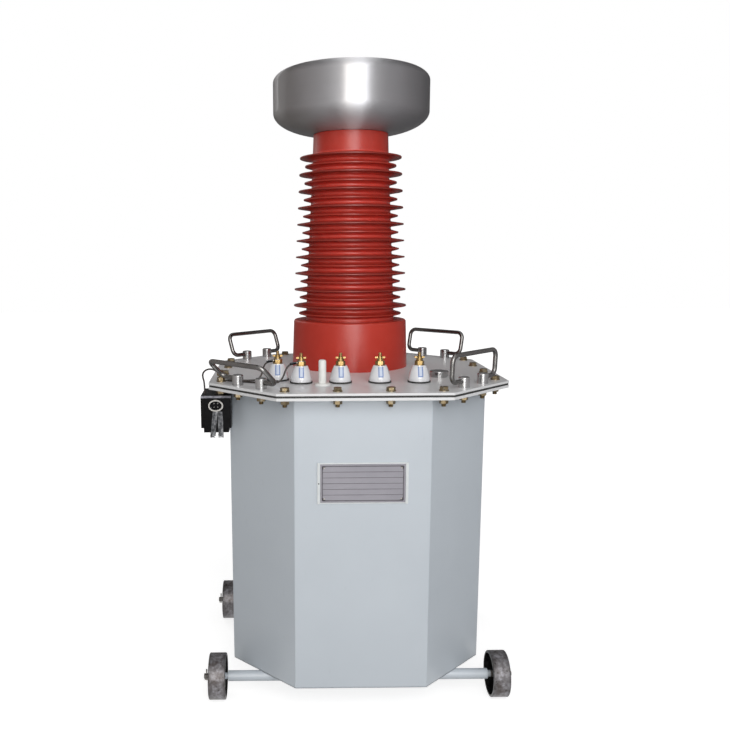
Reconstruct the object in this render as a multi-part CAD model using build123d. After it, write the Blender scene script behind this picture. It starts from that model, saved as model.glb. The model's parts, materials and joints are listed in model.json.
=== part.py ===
from build123d import *
import math
import os

# Oil-filled high-voltage test transformer on four trolley wheels.
# Millimetres. Origin on the floor under the middle of the tank, +X right, +Y to the rear, +Z up.

# Cuts run this far past the face they open.
CUT_OVERRUN = 2.0

# Tank, flange, gasket and cover, all eight-sided.
TANK_HALF_WIDTH = 335.0
TANK_CHAMFER = 167.0
TANK_WALL_THICKNESS = 4.0
TANK_FLOOR_THICKNESS = 6.0
FLANGE_OVERHANG = 50.0
FLANGE_THICKNESS = 7.0
COVER_CHAMFER = 175.0
COVER_TOP_HEIGHT = 850.0
COVER_THICKNESS = 6.0
GASKET_THICKNESS = 5.0
GASKET_INSET = 1.5

# Wheels and axles.
WHEEL_RADIUS = 60.0
WHEEL_WIDTH = 45.0
WHEEL_EDGE_ROUND = 2.5
WHEEL_RIM_THICKNESS = 6.5
WHEEL_WEB_THICKNESS = 12.0
WHEEL_WEB_SETBACK = 5.0
WHEEL_HUB_WALL = 11.8
WHEEL_HUB_INNER_SETBACK = 18.5
WHEEL_BORE_CLEARANCE = 0.2
WHEEL_TANK_GAP = 16.5
WHEEL_SIDE_CLEARANCE = 0.5
AXLE_SETBACK = 92.0
AXLE_TUBE_RADIUS = 14.0
AXLE_TUBE_GAP = 5.0
AXLE_STUB_SHOULDER = 1.5
AXLE_JOURNAL_RADIUS = 7.0
AXLE_END_STANDOUT = 15.0
AXLE_END_CHAMFER = 1.0
AXLE_WASHER_RADIUS = 14.0
AXLE_WASHER_THICKNESS = 3.0
AXLE_WELD_LEG = 12.0
AXLE_WELD_ROOT = 7.0
AXLE_WELD_HEIGHT = 8.0
AXLE_WELD_END_SETBACK = 12.0
SPLIT_PIN_RADIUS = 1.8
SPLIT_PIN_SETBACK = 4.5
SPLIT_PIN_STANDOUT = 5.0
SPLIT_PIN_EYE_RADIUS = 3.2
SPLIT_PIN_LEG_LENGTH = 6.0

# High-voltage bushing behind the cover's middle, with large and small sheds in turn on a tapering trunk.
BUSHING_SETBACK = 110.0
TRUNK_TOP_RADIUS = 107.0
TRUNK_LOW_RADIUS = 127.0
COLLAR_OVERHANG = 35.3
COLLAR_FLARE = 4.7
COLLAR_HEIGHT = 135.0
COLLAR_EDGE_ROUND = 6.0
SHED_COUNT = 20
SHED_PITCH = 22.96
SHED_COLLAR_GAP = 17.3
SHED_LARGE_OVERHANG = 36.5
SHED_SMALL_OVERHANG = 21.0
SHED_TIP_THICKNESS = 4.0
SHED_TIP_ROUND = 1.5
SHED_VALLEY_WIDTH = 7.5
SHED_VALLEY_ROUND = 3.0
NECK_TAPER = 2.0
NECK_LENGTH = 63.5

# Spun corona shield with a dished top, and the output stud in the dish.
CORONA_RADIUS = 218.0
CORONA_HEIGHT = 170.0
CORONA_BELLY_WIDTH = 140.0
CORONA_BELLY_HEIGHT = 58.0
CORONA_SHOULDER_WIDTH = 60.0
CORONA_SHOULDER_HEIGHT = 32.0
CORONA_SHEET = 3.0
CORONA_RIM_WIDTH = 46.0
CORONA_DISH_SLOPE = 30.0
CORONA_DISH_DEPTH = 30.0
CORONA_DISH_ROUND = 14.0
CORONA_SEAT_WIDTH = 30.0
OUTPUT_STUD_RADIUS = 5.0
OUTPUT_STUD_HEIGHT = 26.0
OUTPUT_NUT_RADIUS = 10.0
OUTPUT_NUT_HEIGHT = 8.0

# Five low-voltage terminals: a front row, and one set back to its left.
TERMINAL_ROW_SETBACK = 165.0
TERMINAL_ROW_CENTRE = 2.0
TERMINAL_ROW_COUNT = 4
TERMINAL_PITCH = 100.0
TERMINAL_FIRST_STEP = 60.0
TERMINAL_FIRST_SETBACK = 46.0
TERMINAL_GASKET_LIP = 2.0
TERMINAL_GASKET_THICKNESS = 4.0
CONE_BASE_RADIUS = 27.0
CONE_SKIRT_HEIGHT = 7.0
CONE_BULGE = 1.2
CONE_TOP_RADIUS = 16.5
CONE_HEIGHT = 40.0
STUD_RADIUS = 4.0
STUD_TIP = 10.0
STUD_WASHER_RADIUS = 12.5
STUD_WASHER_THICKNESS = 2.0
STUD_NUT_RADIUS = 12.0
STUD_NUT_HEIGHT = 9.0
STUD_UPPER_NUT_RADIUS = 8.5
STUD_UPPER_NUT_HEIGHT = 7.0
STUD_BAR_LENGTH = 25.0
STUD_BAR_WIDTH = 5.0
STUD_BAR_HEIGHT = 4.0
STUD_BAR_HUB_RADIUS = 6.5

# Breather post, filler cap and earth stud on the cover, set in from its edges.
BREATHER_OFFSET = 96.0
BREATHER_SETBACK = 126.0
BREATHER_RADIUS = 9.5
BREATHER_HEIGHT = 64.0
BREATHER_FLANGE_WIDTH = 9.5
BREATHER_FLANGE_HEIGHT = 5.0
BREATHER_TOP_ROUND = 5.0
CAP_SIDE_SETBACK = 166.0
CAP_FRONT_SETBACK = 250.0
CAP_RADIUS = 25.0
CAP_LID_HEIGHT = 12.0
CAP_EDGE_ROUND = 1.5
CAP_LIP = 3.0
CAP_NECK_HEIGHT = 4.0
EARTH_SIDE_SETBACK = 31.0
EARTH_END_SETBACK = 18.0
EARTH_WASHER_RADIUS = 12.0
EARTH_WASHER_THICKNESS = 2.5
EARTH_NUT_RADIUS = 10.5
EARTH_NUT_HEIGHT = 9.0
EARTH_STUD_RADIUS = 6.0
EARTH_STUD_HEIGHT = 30.0

# Lifting bails that swing between pairs of posts on the diagonal edges.
POST_EDGE_SETBACK = 28.0
POST_HALF_SPACING = 42.5
POST_RADIUS = 14.0
POST_HEIGHT = 26.0
POST_EDGE_ROUND = 3.0
POST_HOLE_DROP = 10.0
BAIL_ROD_RADIUS = 6.0
BAIL_END_REACH = 40.5
BAIL_LEG_LENGTH = 66.0
BAIL_BEND_RADIUS = 18.0
BAIL_END_DEPTH = 12.0
BAIL_HOLE_CLEARANCE = 0.2
BAIL_HOLE_END_CLEARANCE = 1.0
CORNERS = ("front_left", "rear_left", "rear_right", "front_right")
BAIL_LEAN_ANGLES = (47.0, 20.0, 12.0, 2.0)

# Nameplate in its holder on the front face.
PLATE_DROP = 214.0
HOLDER_WIDTH = 224.0
HOLDER_HEIGHT = 104.0
HOLDER_THICKNESS = 2.0
HOLDER_LIP_WIDTH = 7.0
HOLDER_LIP_DEPTH = 2.5
PLATE_THICKNESS = 1.5
PLATE_SIDE_GAP = 0.5
PLATE_END_MARGIN = 3.5

# Socket box under the left front corner of the flange.
BOX_SIDE_INSET = 19.0
BOX_WIDTH = 77.0
BOX_DEPTH = 47.0
BOX_TANK_GAP = 5.5
BOX_HANG_GAP = 14.0
BOX_BOSS_RADIUS = 9.0
BOX_REAR_DEPTH = 75.0
BOX_REAR_HEIGHT = 60.0
BOX_BEVEL_DEPTH = 5.0
BOX_BEVEL_DROP = 5.0
BOX_HEIGHT = 83.0
BOX_PLINTH_INSET = 6.5
BOX_PLINTH_HEIGHT = 12.0
BOX_PLINTH_SETBACK = 3.0
SOCKET_DROP = 38.0
SOCKET_HALF_WIDTH = 19.0
SOCKET_HALF_HEIGHT = 15.0
SOCKET_RING_WIDTH = 3.5
SOCKET_RING_STANDOUT = 5.0
SOCKET_RECESS_DEPTH = 10.0

# Flat braid tails that hang from the socket ring's lower edge in front of the box.
BRAID_WIDTH = 11.0
BRAID_THICKNESS = 2.4
BRAID_LENGTH = 67.0
BRAID_SPACING = 11.4
BRAID_FACE_GAP = 0.4
BRAID_SPLAY_ANGLES = {-1: 7.0, 1: 2.0}
BRAID_SIDE_SHIFT = 4.5

# Two insulated leads over the cover, as routes of points chosen by hand.
LEAD_DIAMETER = 4.5
LEAD_ARC_SHARE = 0.45
FIRST_LEAD_ROUTE = [
    (-220.4, -177, 901),
    (-236, -180, 899),
    (-246, -182, 885),
    (-249, -183, 866),
    (-260, -187, 852.8),
    (-281, -193, 852.4),
    (-306, -192, 852.4),
    (-332, -179, 852.4),
    (-348, -164, 858),
    (-364, -153, 868),
    (-380, -149, 877),
    (-396, -155, 876),
    (-404, -168, 868),
    (-402, -181, 858),
    (-397, -191, 847),
    (-397, -191, 818),
]
SECOND_LEAD_ROUTE = [
    (-160.4, -222, 901),
    (-177, -226, 899),
    (-188, -229, 885),
    (-193, -231, 867),
    (-204, -234, 853.2),
    (-226, -236, 852.4),
    (-251, -231, 852.4),
    (-277, -221, 852.4),
    (-300, -210, 852.4),
    (-321, -201, 852.4),
    (-341.5, -195, 853.5),
]

# Places worked out from the values above.
DIAGONAL = math.sqrt(0.5)
TANK_EDGE_HALF = TANK_HALF_WIDTH - TANK_CHAMFER
COVER_HALF_WIDTH = TANK_HALF_WIDTH + FLANGE_OVERHANG
COVER_EDGE_HALF = COVER_HALF_WIDTH - COVER_CHAMFER
HALF_TRACK = TANK_HALF_WIDTH + WHEEL_TANK_GAP + WHEEL_WIDTH / 2
HALF_WHEELBASE = TANK_HALF_WIDTH - AXLE_SETBACK
AXLE_HEIGHT = WHEEL_RADIUS
TANK_BOTTOM = AXLE_HEIGHT + AXLE_TUBE_RADIUS
COVER_BOTTOM = COVER_TOP_HEIGHT - COVER_THICKNESS
FLANGE_TOP = COVER_BOTTOM - GASKET_THICKNESS
FLANGE_BOTTOM = FLANGE_TOP - FLANGE_THICKNESS
COLLAR_TOP = COVER_TOP_HEIGHT + COLLAR_HEIGHT
LOWEST_SHED = COLLAR_TOP + SHED_COLLAR_GAP
NECK_RADIUS = TRUNK_TOP_RADIUS - NECK_TAPER
NECK_TOP = LOWEST_SHED + (SHED_COUNT - 1) * SHED_PITCH + NECK_LENGTH
CORONA_TOP = NECK_TOP + CORONA_HEIGHT
POST_LINE_DISTANCE = (COVER_HALF_WIDTH + COVER_EDGE_HALF) * DIAGONAL - POST_EDGE_SETBACK
PIVOT_HEIGHT = COVER_TOP_HEIGHT + POST_HEIGHT - POST_HOLE_DROP
BOX_CENTRE_X = -COVER_HALF_WIDTH + BOX_SIDE_INSET
BOX_RIGHT = BOX_CENTRE_X + BOX_WIDTH / 2
BOX_BACK_Y = -(TANK_HALF_WIDTH + TANK_EDGE_HALF + BOX_RIGHT) - BOX_TANK_GAP
BOX_FRONT_Y = BOX_BACK_Y - BOX_DEPTH


def octagon_face(half_width, edge_half, height):
    quarter = [(edge_half, -half_width), (half_width, -edge_half)]
    corners = []
    for turn in range(4):
        angle = turn * math.pi / 2
        for x, y in quarter:
            px = x * math.cos(angle) - y * math.sin(angle)
            py = x * math.sin(angle) + y * math.cos(angle)
            corners.append(Vector(px, py, height))
    return Face(Wire.make_polygon(corners))


def octagon_plate(half_width, edge_half, low, high):
    return extrude(octagon_face(half_width, edge_half, low), amount=high - low, dir=(0, 0, 1))


def edge_inset(edge_half, inset):
    return edge_half - inset * math.tan(math.pi / 8)


def section_face(points):
    # Half section in the XZ plane from (radius, height) pairs.
    return Face(Wire.make_polygon([Vector(radius, 0, height) for radius, height in points]))


def corners_at(face, points):
    # The face's vertices that stand at the given (x, z) pairs.
    wanted = {(round(x, 3), round(z, 3)) for x, z in points}
    return [v for v in face.vertices() if (round(v.X, 3), round(v.Z, 3)) in wanted]


def standing_cylinder(radius, low, high):
    disc = Pos(0, 0, low) * Circle(radius)
    return extrude(disc, amount=high - low, dir=(0, 0, 1))


def standing_hexagon(radius, low, high):
    return extrude(Pos(0, 0, low) * RegularPolygon(radius, 6), amount=high - low, dir=(0, 0, 1))


def bar_along_x(radius, start, end):
    disc = Plane(origin=(start, 0, 0), z_dir=(1, 0, 0)) * Circle(radius)
    return extrude(disc, amount=end - start, dir=(1, 0, 0))


def share_between(low_value, high_value, share):
    return low_value + (high_value - low_value) * share


def tank_inner(low, high):
    inner_edge = edge_inset(TANK_EDGE_HALF, TANK_WALL_THICKNESS)
    return octagon_plate(TANK_HALF_WIDTH - TANK_WALL_THICKNESS, inner_edge, low, high)


def tank_wall():
    outer = octagon_plate(TANK_HALF_WIDTH, TANK_EDGE_HALF, TANK_BOTTOM, FLANGE_TOP)
    return outer - tank_inner(TANK_BOTTOM - CUT_OVERRUN, FLANGE_TOP + CUT_OVERRUN)


def tank_floor():
    return tank_inner(TANK_BOTTOM, TANK_BOTTOM + TANK_FLOOR_THICKNESS)


def tank_flange():
    outer = octagon_plate(COVER_HALF_WIDTH, COVER_EDGE_HALF, FLANGE_BOTTOM, FLANGE_TOP)
    low = FLANGE_BOTTOM - CUT_OVERRUN
    return outer - octagon_plate(TANK_HALF_WIDTH, TANK_EDGE_HALF, low, FLANGE_TOP + CUT_OVERRUN)


def cover_gasket():
    half = COVER_HALF_WIDTH - GASKET_INSET
    outer = octagon_plate(half, edge_inset(COVER_EDGE_HALF, GASKET_INSET), FLANGE_TOP, COVER_BOTTOM)
    return outer - tank_inner(FLANGE_TOP - CUT_OVERRUN, COVER_BOTTOM + CUT_OVERRUN)


def cover_plate():
    return octagon_plate(COVER_HALF_WIDTH, COVER_EDGE_HALF, COVER_BOTTOM, COVER_TOP_HEIGHT)


def shed_points(index):
    # Root, tip, tip, root of one shed, counted from the collar up. Large and small sheds take turns.
    share = index / (SHED_COUNT - 1)
    middle = LOWEST_SHED + index * SHED_PITCH
    root = share_between(TRUNK_LOW_RADIUS, TRUNK_TOP_RADIUS, share)
    tip = root + (SHED_LARGE_OVERHANG if index % 2 else SHED_SMALL_OVERHANG)
    half_root = (SHED_PITCH - SHED_VALLEY_WIDTH) / 2
    half_tip = SHED_TIP_THICKNESS / 2
    return [
        (root, middle - half_root),
        (tip, middle - half_tip),
        (tip, middle + half_tip),
        (root, middle + half_root),
    ]


def high_voltage_bushing():
    collar_radius = TRUNK_LOW_RADIUS + COLLAR_OVERHANG
    collar_edge = (collar_radius, COLLAR_TOP)
    points = [(0, COVER_TOP_HEIGHT), (collar_radius + COLLAR_FLARE, COVER_TOP_HEIGHT)]
    points += [collar_edge, (TRUNK_LOW_RADIUS, COLLAR_TOP)]
    roots = []
    tips = []
    for index in range(SHED_COUNT):
        low_root, low_tip, high_tip, high_root = shed_points(index)
        roots += [low_root, high_root]
        tips += [low_tip, high_tip]
        points += [low_root, low_tip, high_tip, high_root]
    points += [(NECK_RADIUS, NECK_TOP), (0, NECK_TOP)]
    section = section_face(points)
    section = fillet(corners_at(section, [collar_edge]), COLLAR_EDGE_ROUND)
    section = fillet(corners_at(section, roots), SHED_VALLEY_ROUND)
    section = fillet(corners_at(section, tips), SHED_TIP_ROUND)
    return Pos(0, BUSHING_SETBACK, 0) * revolve(section, axis=Axis.Z)


def corona_section(inset):
    # Right half of the shield, set in from the outer skin by the inset: belly, side, shoulder and dish.
    low = NECK_TOP + inset
    high = CORONA_TOP - inset
    belly_centre = (CORONA_RADIUS - CORONA_BELLY_WIDTH, NECK_TOP + CORONA_BELLY_HEIGHT)
    belly_size = (CORONA_BELLY_WIDTH - inset, CORONA_BELLY_HEIGHT - inset)
    belly = EllipticalCenterArc(belly_centre, *belly_size, start_angle=270, arc_size=90)
    shoulder_centre = (CORONA_RADIUS - CORONA_SHOULDER_WIDTH, CORONA_TOP - CORONA_SHOULDER_HEIGHT)
    shoulder_size = (CORONA_SHOULDER_WIDTH - inset, CORONA_SHOULDER_HEIGHT - inset)
    shoulder = EllipticalCenterArc(shoulder_centre, *shoulder_size, start_angle=0, arc_size=90)
    dish_edge = (shoulder_centre[0] - CORONA_RIM_WIDTH + inset, high)
    dish_floor = (dish_edge[0] - CORONA_DISH_SLOPE, CORONA_TOP - CORONA_DISH_DEPTH - inset)
    start = (0, low)
    side = Line(belly @ 1, shoulder @ 0)
    dish = Polyline(shoulder @ 1, dish_edge, dish_floor, (0, dish_floor[1]), start)
    section = Plane.XZ * make_face([Line(start, belly @ 0), belly, side, shoulder, dish])
    section = fillet(corners_at(section, [dish_edge]), CORONA_DISH_ROUND - inset)
    return fillet(corners_at(section, [dish_floor]), CORONA_DISH_ROUND + inset)


def corona_shield():
    skin = revolve(corona_section(0), axis=Axis.Z)
    hollow = revolve(corona_section(CORONA_SHEET), axis=Axis.Z)
    hole_radius = NECK_RADIUS - CORONA_SEAT_WIDTH
    hole = standing_cylinder(hole_radius, NECK_TOP - CUT_OVERRUN, NECK_TOP + CORONA_SHEET + CUT_OVERRUN)
    return Pos(0, BUSHING_SETBACK, 0) * (skin - hollow - hole)


def output_stud():
    base = CORONA_TOP - CORONA_DISH_DEPTH
    nut = standing_hexagon(OUTPUT_NUT_RADIUS, base, base + OUTPUT_NUT_HEIGHT)
    stud = standing_cylinder(OUTPUT_STUD_RADIUS, base, base + OUTPUT_STUD_HEIGHT)
    return Pos(0, BUSHING_SETBACK, 0) * (nut + stud)


def terminal_places():
    row_y = -COVER_HALF_WIDTH + TERMINAL_ROW_SETBACK
    row_start = TERMINAL_ROW_CENTRE - TERMINAL_PITCH * (TERMINAL_ROW_COUNT - 1) / 2
    places = [(row_start - TERMINAL_FIRST_STEP, row_y + TERMINAL_FIRST_SETBACK)]
    for index in range(TERMINAL_ROW_COUNT):
        places.append((row_start + index * TERMINAL_PITCH, row_y))
    return places


def terminal_gasket():
    top = COVER_TOP_HEIGHT + TERMINAL_GASKET_THICKNESS
    return standing_cylinder(CONE_BASE_RADIUS + TERMINAL_GASKET_LIP, COVER_TOP_HEIGHT, top)


def terminal_insulator():
    # Short upright skirt, then a cone with slightly rounded flanks.
    base = COVER_TOP_HEIGHT + TERMINAL_GASKET_THICKNESS
    skirt = (CONE_BASE_RADIUS, base + CONE_SKIRT_HEIGHT)
    top = (CONE_TOP_RADIUS, base + CONE_HEIGHT)
    middle = ((skirt[0] + top[0]) / 2 + CONE_BULGE, (skirt[1] + top[1]) / 2)
    flank = ThreePointArc(skirt, middle, top)
    foot = Polyline((0, base), (CONE_BASE_RADIUS, base), skirt)
    inside = Polyline(top, (0, top[1]), (0, base))
    return revolve(Plane.XZ * make_face([foot, flank, inside]), axis=Axis.Z)


def terminal_stud():
    washer_low = COVER_TOP_HEIGHT + TERMINAL_GASKET_THICKNESS + CONE_HEIGHT
    nut_low = washer_low + STUD_WASHER_THICKNESS
    upper_low = nut_low + STUD_NUT_HEIGHT
    bar_low = upper_low + STUD_UPPER_NUT_HEIGHT
    bar_top = bar_low + STUD_BAR_HEIGHT
    bar = Pos(0, 0, bar_low) * Rectangle(STUD_BAR_LENGTH, STUD_BAR_WIDTH)
    stack = standing_cylinder(STUD_WASHER_RADIUS, washer_low, nut_low)
    stack += standing_hexagon(STUD_NUT_RADIUS, nut_low, upper_low)
    stack += standing_cylinder(STUD_UPPER_NUT_RADIUS, upper_low, bar_low)
    stack += extrude(bar, amount=STUD_BAR_HEIGHT, dir=(0, 0, 1))
    stack += standing_cylinder(STUD_BAR_HUB_RADIUS, bar_low, bar_top)
    stack += standing_cylinder(STUD_RADIUS, bar_low, bar_top + STUD_TIP)
    return stack


def breather_post():
    base = COVER_TOP_HEIGHT
    flange = standing_cylinder(BREATHER_RADIUS + BREATHER_FLANGE_WIDTH, base, base + BREATHER_FLANGE_HEIGHT)
    post = standing_cylinder(BREATHER_RADIUS, base, base + BREATHER_HEIGHT)
    post = fillet(post.edges().group_by(Axis.Z)[-1], BREATHER_TOP_ROUND)
    return Pos(-BREATHER_OFFSET, -COVER_HALF_WIDTH + BREATHER_SETBACK, 0) * (flange + post)


def filler_cap():
    lid_low = COVER_TOP_HEIGHT + CAP_NECK_HEIGHT
    neck = standing_cylinder(CAP_RADIUS - CAP_LIP, COVER_TOP_HEIGHT, lid_low)
    lid = standing_cylinder(CAP_RADIUS, lid_low, lid_low + CAP_LID_HEIGHT)
    lid = fillet(lid.edges().group_by(Axis.Z)[-1], CAP_EDGE_ROUND)
    place = Pos(COVER_HALF_WIDTH - CAP_SIDE_SETBACK, -COVER_HALF_WIDTH + CAP_FRONT_SETBACK, 0)
    return place * (neck + lid)


def earth_place():
    return (-COVER_HALF_WIDTH + EARTH_SIDE_SETBACK, -COVER_EDGE_HALF + EARTH_END_SETBACK, 0)


def earth_stud():
    base = COVER_TOP_HEIGHT
    nut_low = base + EARTH_WASHER_THICKNESS
    stud = standing_cylinder(EARTH_WASHER_RADIUS, base, nut_low)
    stud += standing_hexagon(EARTH_NUT_RADIUS, nut_low, nut_low + EARTH_NUT_HEIGHT)
    stud += standing_cylinder(EARTH_STUD_RADIUS, base, base + EARTH_STUD_HEIGHT)
    return Pos(*earth_place()) * stud


def corner_signs(corner):
    across = 1 if corner.endswith("right") else -1
    along = 1 if corner.startswith("rear") else -1
    return across, along


def corner_frame(corner):
    across, along = corner_signs(corner)
    outward = Vector(across * DIAGONAL, along * DIAGONAL, 0)
    sideways = Vector(across * DIAGONAL, -along * DIAGONAL, 0)
    return outward, sideways


def handle_post(place, inward):
    # One post with the blind hole that a bail's end turns in; inward points from the mouth to the axis.
    body = standing_cylinder(POST_RADIUS, COVER_TOP_HEIGHT, COVER_TOP_HEIGHT + POST_HEIGHT)
    body = Pos(place.X, place.Y, 0) * fillet(body.edges().group_by(Axis.Z)[-1], POST_EDGE_ROUND)
    mouth = place - inward * (POST_RADIUS + CUT_OVERRUN) + Vector(0, 0, PIVOT_HEIGHT)
    disc = Plane(origin=mouth, z_dir=inward) * Circle(BAIL_ROD_RADIUS + BAIL_HOLE_CLEARANCE)
    depth = BAIL_END_DEPTH + BAIL_HOLE_END_CLEARANCE + CUT_OVERRUN
    return body - extrude(disc, amount=depth, dir=inward)


def handle_posts(corner):
    outward, sideways = corner_frame(corner)
    middle = outward * POST_LINE_DISTANCE
    posts = []
    for side in (1, -1):
        posts.append(handle_post(middle + sideways * (side * POST_HALF_SPACING), sideways * -side))
    return Compound(children=posts)


def bail(corner, lean_angle):
    outward, sideways = corner_frame(corner)
    lean = math.radians(lean_angle)
    rise = outward * math.sin(lean) + Vector(0, 0, math.cos(lean))
    pivot = outward * POST_LINE_DISTANCE + Vector(0, 0, PIVOT_HEIGHT)
    plane = Plane(origin=pivot, x_dir=sideways, z_dir=sideways.cross(rise))
    end = POST_HALF_SPACING + POST_RADIUS - BAIL_END_DEPTH
    half_span = POST_HALF_SPACING + POST_RADIUS + BAIL_END_REACH
    loop = FilletPolyline(
        (-end, 0),
        (-half_span, 0),
        (-half_span, BAIL_LEG_LENGTH),
        (half_span, BAIL_LEG_LENGTH),
        (half_span, 0),
        (end, 0),
        radius=BAIL_BEND_RADIUS,
    )
    path = plane * loop
    return sweep(Plane(origin=path @ 0, z_dir=path % 0) * Circle(BAIL_ROD_RADIUS), path=path)


def wheel():
    # Turned about X with the outer face towards +X; the inner side is deeply dished.
    outer = WHEEL_WIDTH / 2
    bore = AXLE_JOURNAL_RADIUS + WHEEL_BORE_CLEARANCE
    hub = bore + WHEEL_HUB_WALL
    rim = WHEEL_RADIUS - WHEEL_RIM_THICKNESS
    hub_inner = -outer + WHEEL_HUB_INNER_SETBACK
    web_outer = outer - WHEEL_WEB_SETBACK
    web_inner = web_outer - WHEEL_WEB_THICKNESS
    section = section_face([
        (hub_inner, bore),
        (outer, bore),
        (outer, hub),
        (web_outer, hub),
        (web_outer, rim),
        (outer, rim),
        (outer, WHEEL_RADIUS),
        (-outer, WHEEL_RADIUS),
        (-outer, rim),
        (web_inner, rim),
        (web_inner, hub),
        (hub_inner, hub),
    ])
    section = fillet(corners_at(section, [(outer, WHEEL_RADIUS), (-outer, WHEEL_RADIUS)]), WHEEL_EDGE_ROUND)
    return revolve(section, axis=Axis.X)


def placed_wheel(corner):
    across, along = corner_signs(corner)
    turn = 0 if across > 0 else 180
    return Pos(across * HALF_TRACK, along * HALF_WHEELBASE, AXLE_HEIGHT) * Rot(0, 0, turn) * wheel()


def washer_inner():
    return HALF_TRACK + WHEEL_WIDTH / 2 + WHEEL_SIDE_CLEARANCE


def split_pin_station():
    return washer_inner() + AXLE_WASHER_THICKNESS + SPLIT_PIN_SETBACK


def axle_weld():
    # Fillet weld along both sides of the tube, up to the tank floor.
    end = TANK_HALF_WIDTH + TANK_EDGE_HALF - HALF_WHEELBASE - AXLE_WELD_END_SETBACK
    low = AXLE_TUBE_RADIUS - AXLE_WELD_HEIGHT
    outline = [
        Vector(-end, -AXLE_WELD_LEG, AXLE_TUBE_RADIUS),
        Vector(-end, AXLE_WELD_LEG, AXLE_TUBE_RADIUS),
        Vector(-end, AXLE_WELD_ROOT, low),
        Vector(-end, -AXLE_WELD_ROOT, low),
    ]
    return extrude(Face(Wire.make_polygon(outline)), amount=2 * end, dir=(1, 0, 0))


def axle(along):
    tube_end = HALF_TRACK - WHEEL_WIDTH / 2 - AXLE_TUBE_GAP
    stub_end = HALF_TRACK - WHEEL_WIDTH / 2 + WHEEL_HUB_INNER_SETBACK - WHEEL_SIDE_CLEARANCE
    end = HALF_TRACK + WHEEL_WIDTH / 2 + AXLE_END_STANDOUT
    journal = bar_along_x(AXLE_JOURNAL_RADIUS, -end, end)
    tips = journal.edges().group_by(Axis.X)
    bar = bar_along_x(AXLE_TUBE_RADIUS, -tube_end, tube_end) + axle_weld()
    bar += bar_along_x(AXLE_JOURNAL_RADIUS + AXLE_STUB_SHOULDER, -stub_end, stub_end)
    bar += chamfer(tips[0] + tips[-1], AXLE_END_CHAMFER)
    reach = AXLE_JOURNAL_RADIUS + CUT_OVERRUN
    for side in (-1, 1):
        bar -= Pos(side * split_pin_station(), 0, 0) * standing_cylinder(SPLIT_PIN_RADIUS, -reach, reach)
    return Pos(0, along * HALF_WHEELBASE, AXLE_HEIGHT) * bar


def axle_ends():
    # Places of the four axle ends, with +X turned outwards.
    spots = []
    for along in (-1, 1):
        for turn in (0, 180):
            spots.append(Pos(0, along * HALF_WHEELBASE, AXLE_HEIGHT) * Rot(0, 0, turn))
    return spots


def axle_washers():
    low = washer_inner()
    high = low + AXLE_WASHER_THICKNESS
    ring = bar_along_x(AXLE_WASHER_RADIUS, low, high)
    ring -= bar_along_x(AXLE_JOURNAL_RADIUS, low - CUT_OVERRUN, high + CUT_OVERRUN)
    return Compound(children=[spot * ring for spot in axle_ends()])


def split_pin():
    reach = AXLE_JOURNAL_RADIUS + SPLIT_PIN_STANDOUT
    shank = standing_cylinder(SPLIT_PIN_RADIUS, -reach, reach)
    eye = Rot(0, 90, 0) * Torus(SPLIT_PIN_EYE_RADIUS, SPLIT_PIN_RADIUS)
    bent = bar_along_x(SPLIT_PIN_RADIUS, 0, SPLIT_PIN_LEG_LENGTH)
    return shank + Pos(0, 0, reach + SPLIT_PIN_EYE_RADIUS) * eye + Pos(0, 0, SPLIT_PIN_RADIUS - reach) * bent


def split_pins():
    return Compound(children=[spot * Pos(split_pin_station(), 0, 0) * split_pin() for spot in axle_ends()])


def front_plate(width, height, thickness, standoff):
    # Upright plate on the tank's front face, its back the standoff in front of it.
    y = -TANK_HALF_WIDTH - standoff - thickness / 2
    return Pos(0, y, FLANGE_BOTTOM - PLATE_DROP) * Box(width, thickness, height)


def nameplate_holder():
    holder = front_plate(HOLDER_WIDTH, HOLDER_HEIGHT, HOLDER_THICKNESS, 0)
    lip = front_plate(HOLDER_LIP_WIDTH, HOLDER_HEIGHT, HOLDER_LIP_DEPTH, HOLDER_THICKNESS)
    shift = (HOLDER_WIDTH - HOLDER_LIP_WIDTH) / 2
    return holder + Pos(shift, 0, 0) * lip + Pos(-shift, 0, 0) * lip


def nameplate():
    width = HOLDER_WIDTH - 2 * (HOLDER_LIP_WIDTH + PLATE_SIDE_GAP)
    height = HOLDER_HEIGHT - 2 * PLATE_END_MARGIN
    return front_plate(width, height, PLATE_THICKNESS, HOLDER_THICKNESS)


def socket_face():
    origin = (BOX_CENTRE_X, BOX_FRONT_Y, FLANGE_BOTTOM - SOCKET_DROP)
    return Plane(origin=origin, x_dir=(1, 0, 0), z_dir=(0, -1, 0))


def socket_mouth():
    return Ellipse(SOCKET_HALF_WIDTH - SOCKET_RING_WIDTH, SOCKET_HALF_HEIGHT - SOCKET_RING_WIDTH)


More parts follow.
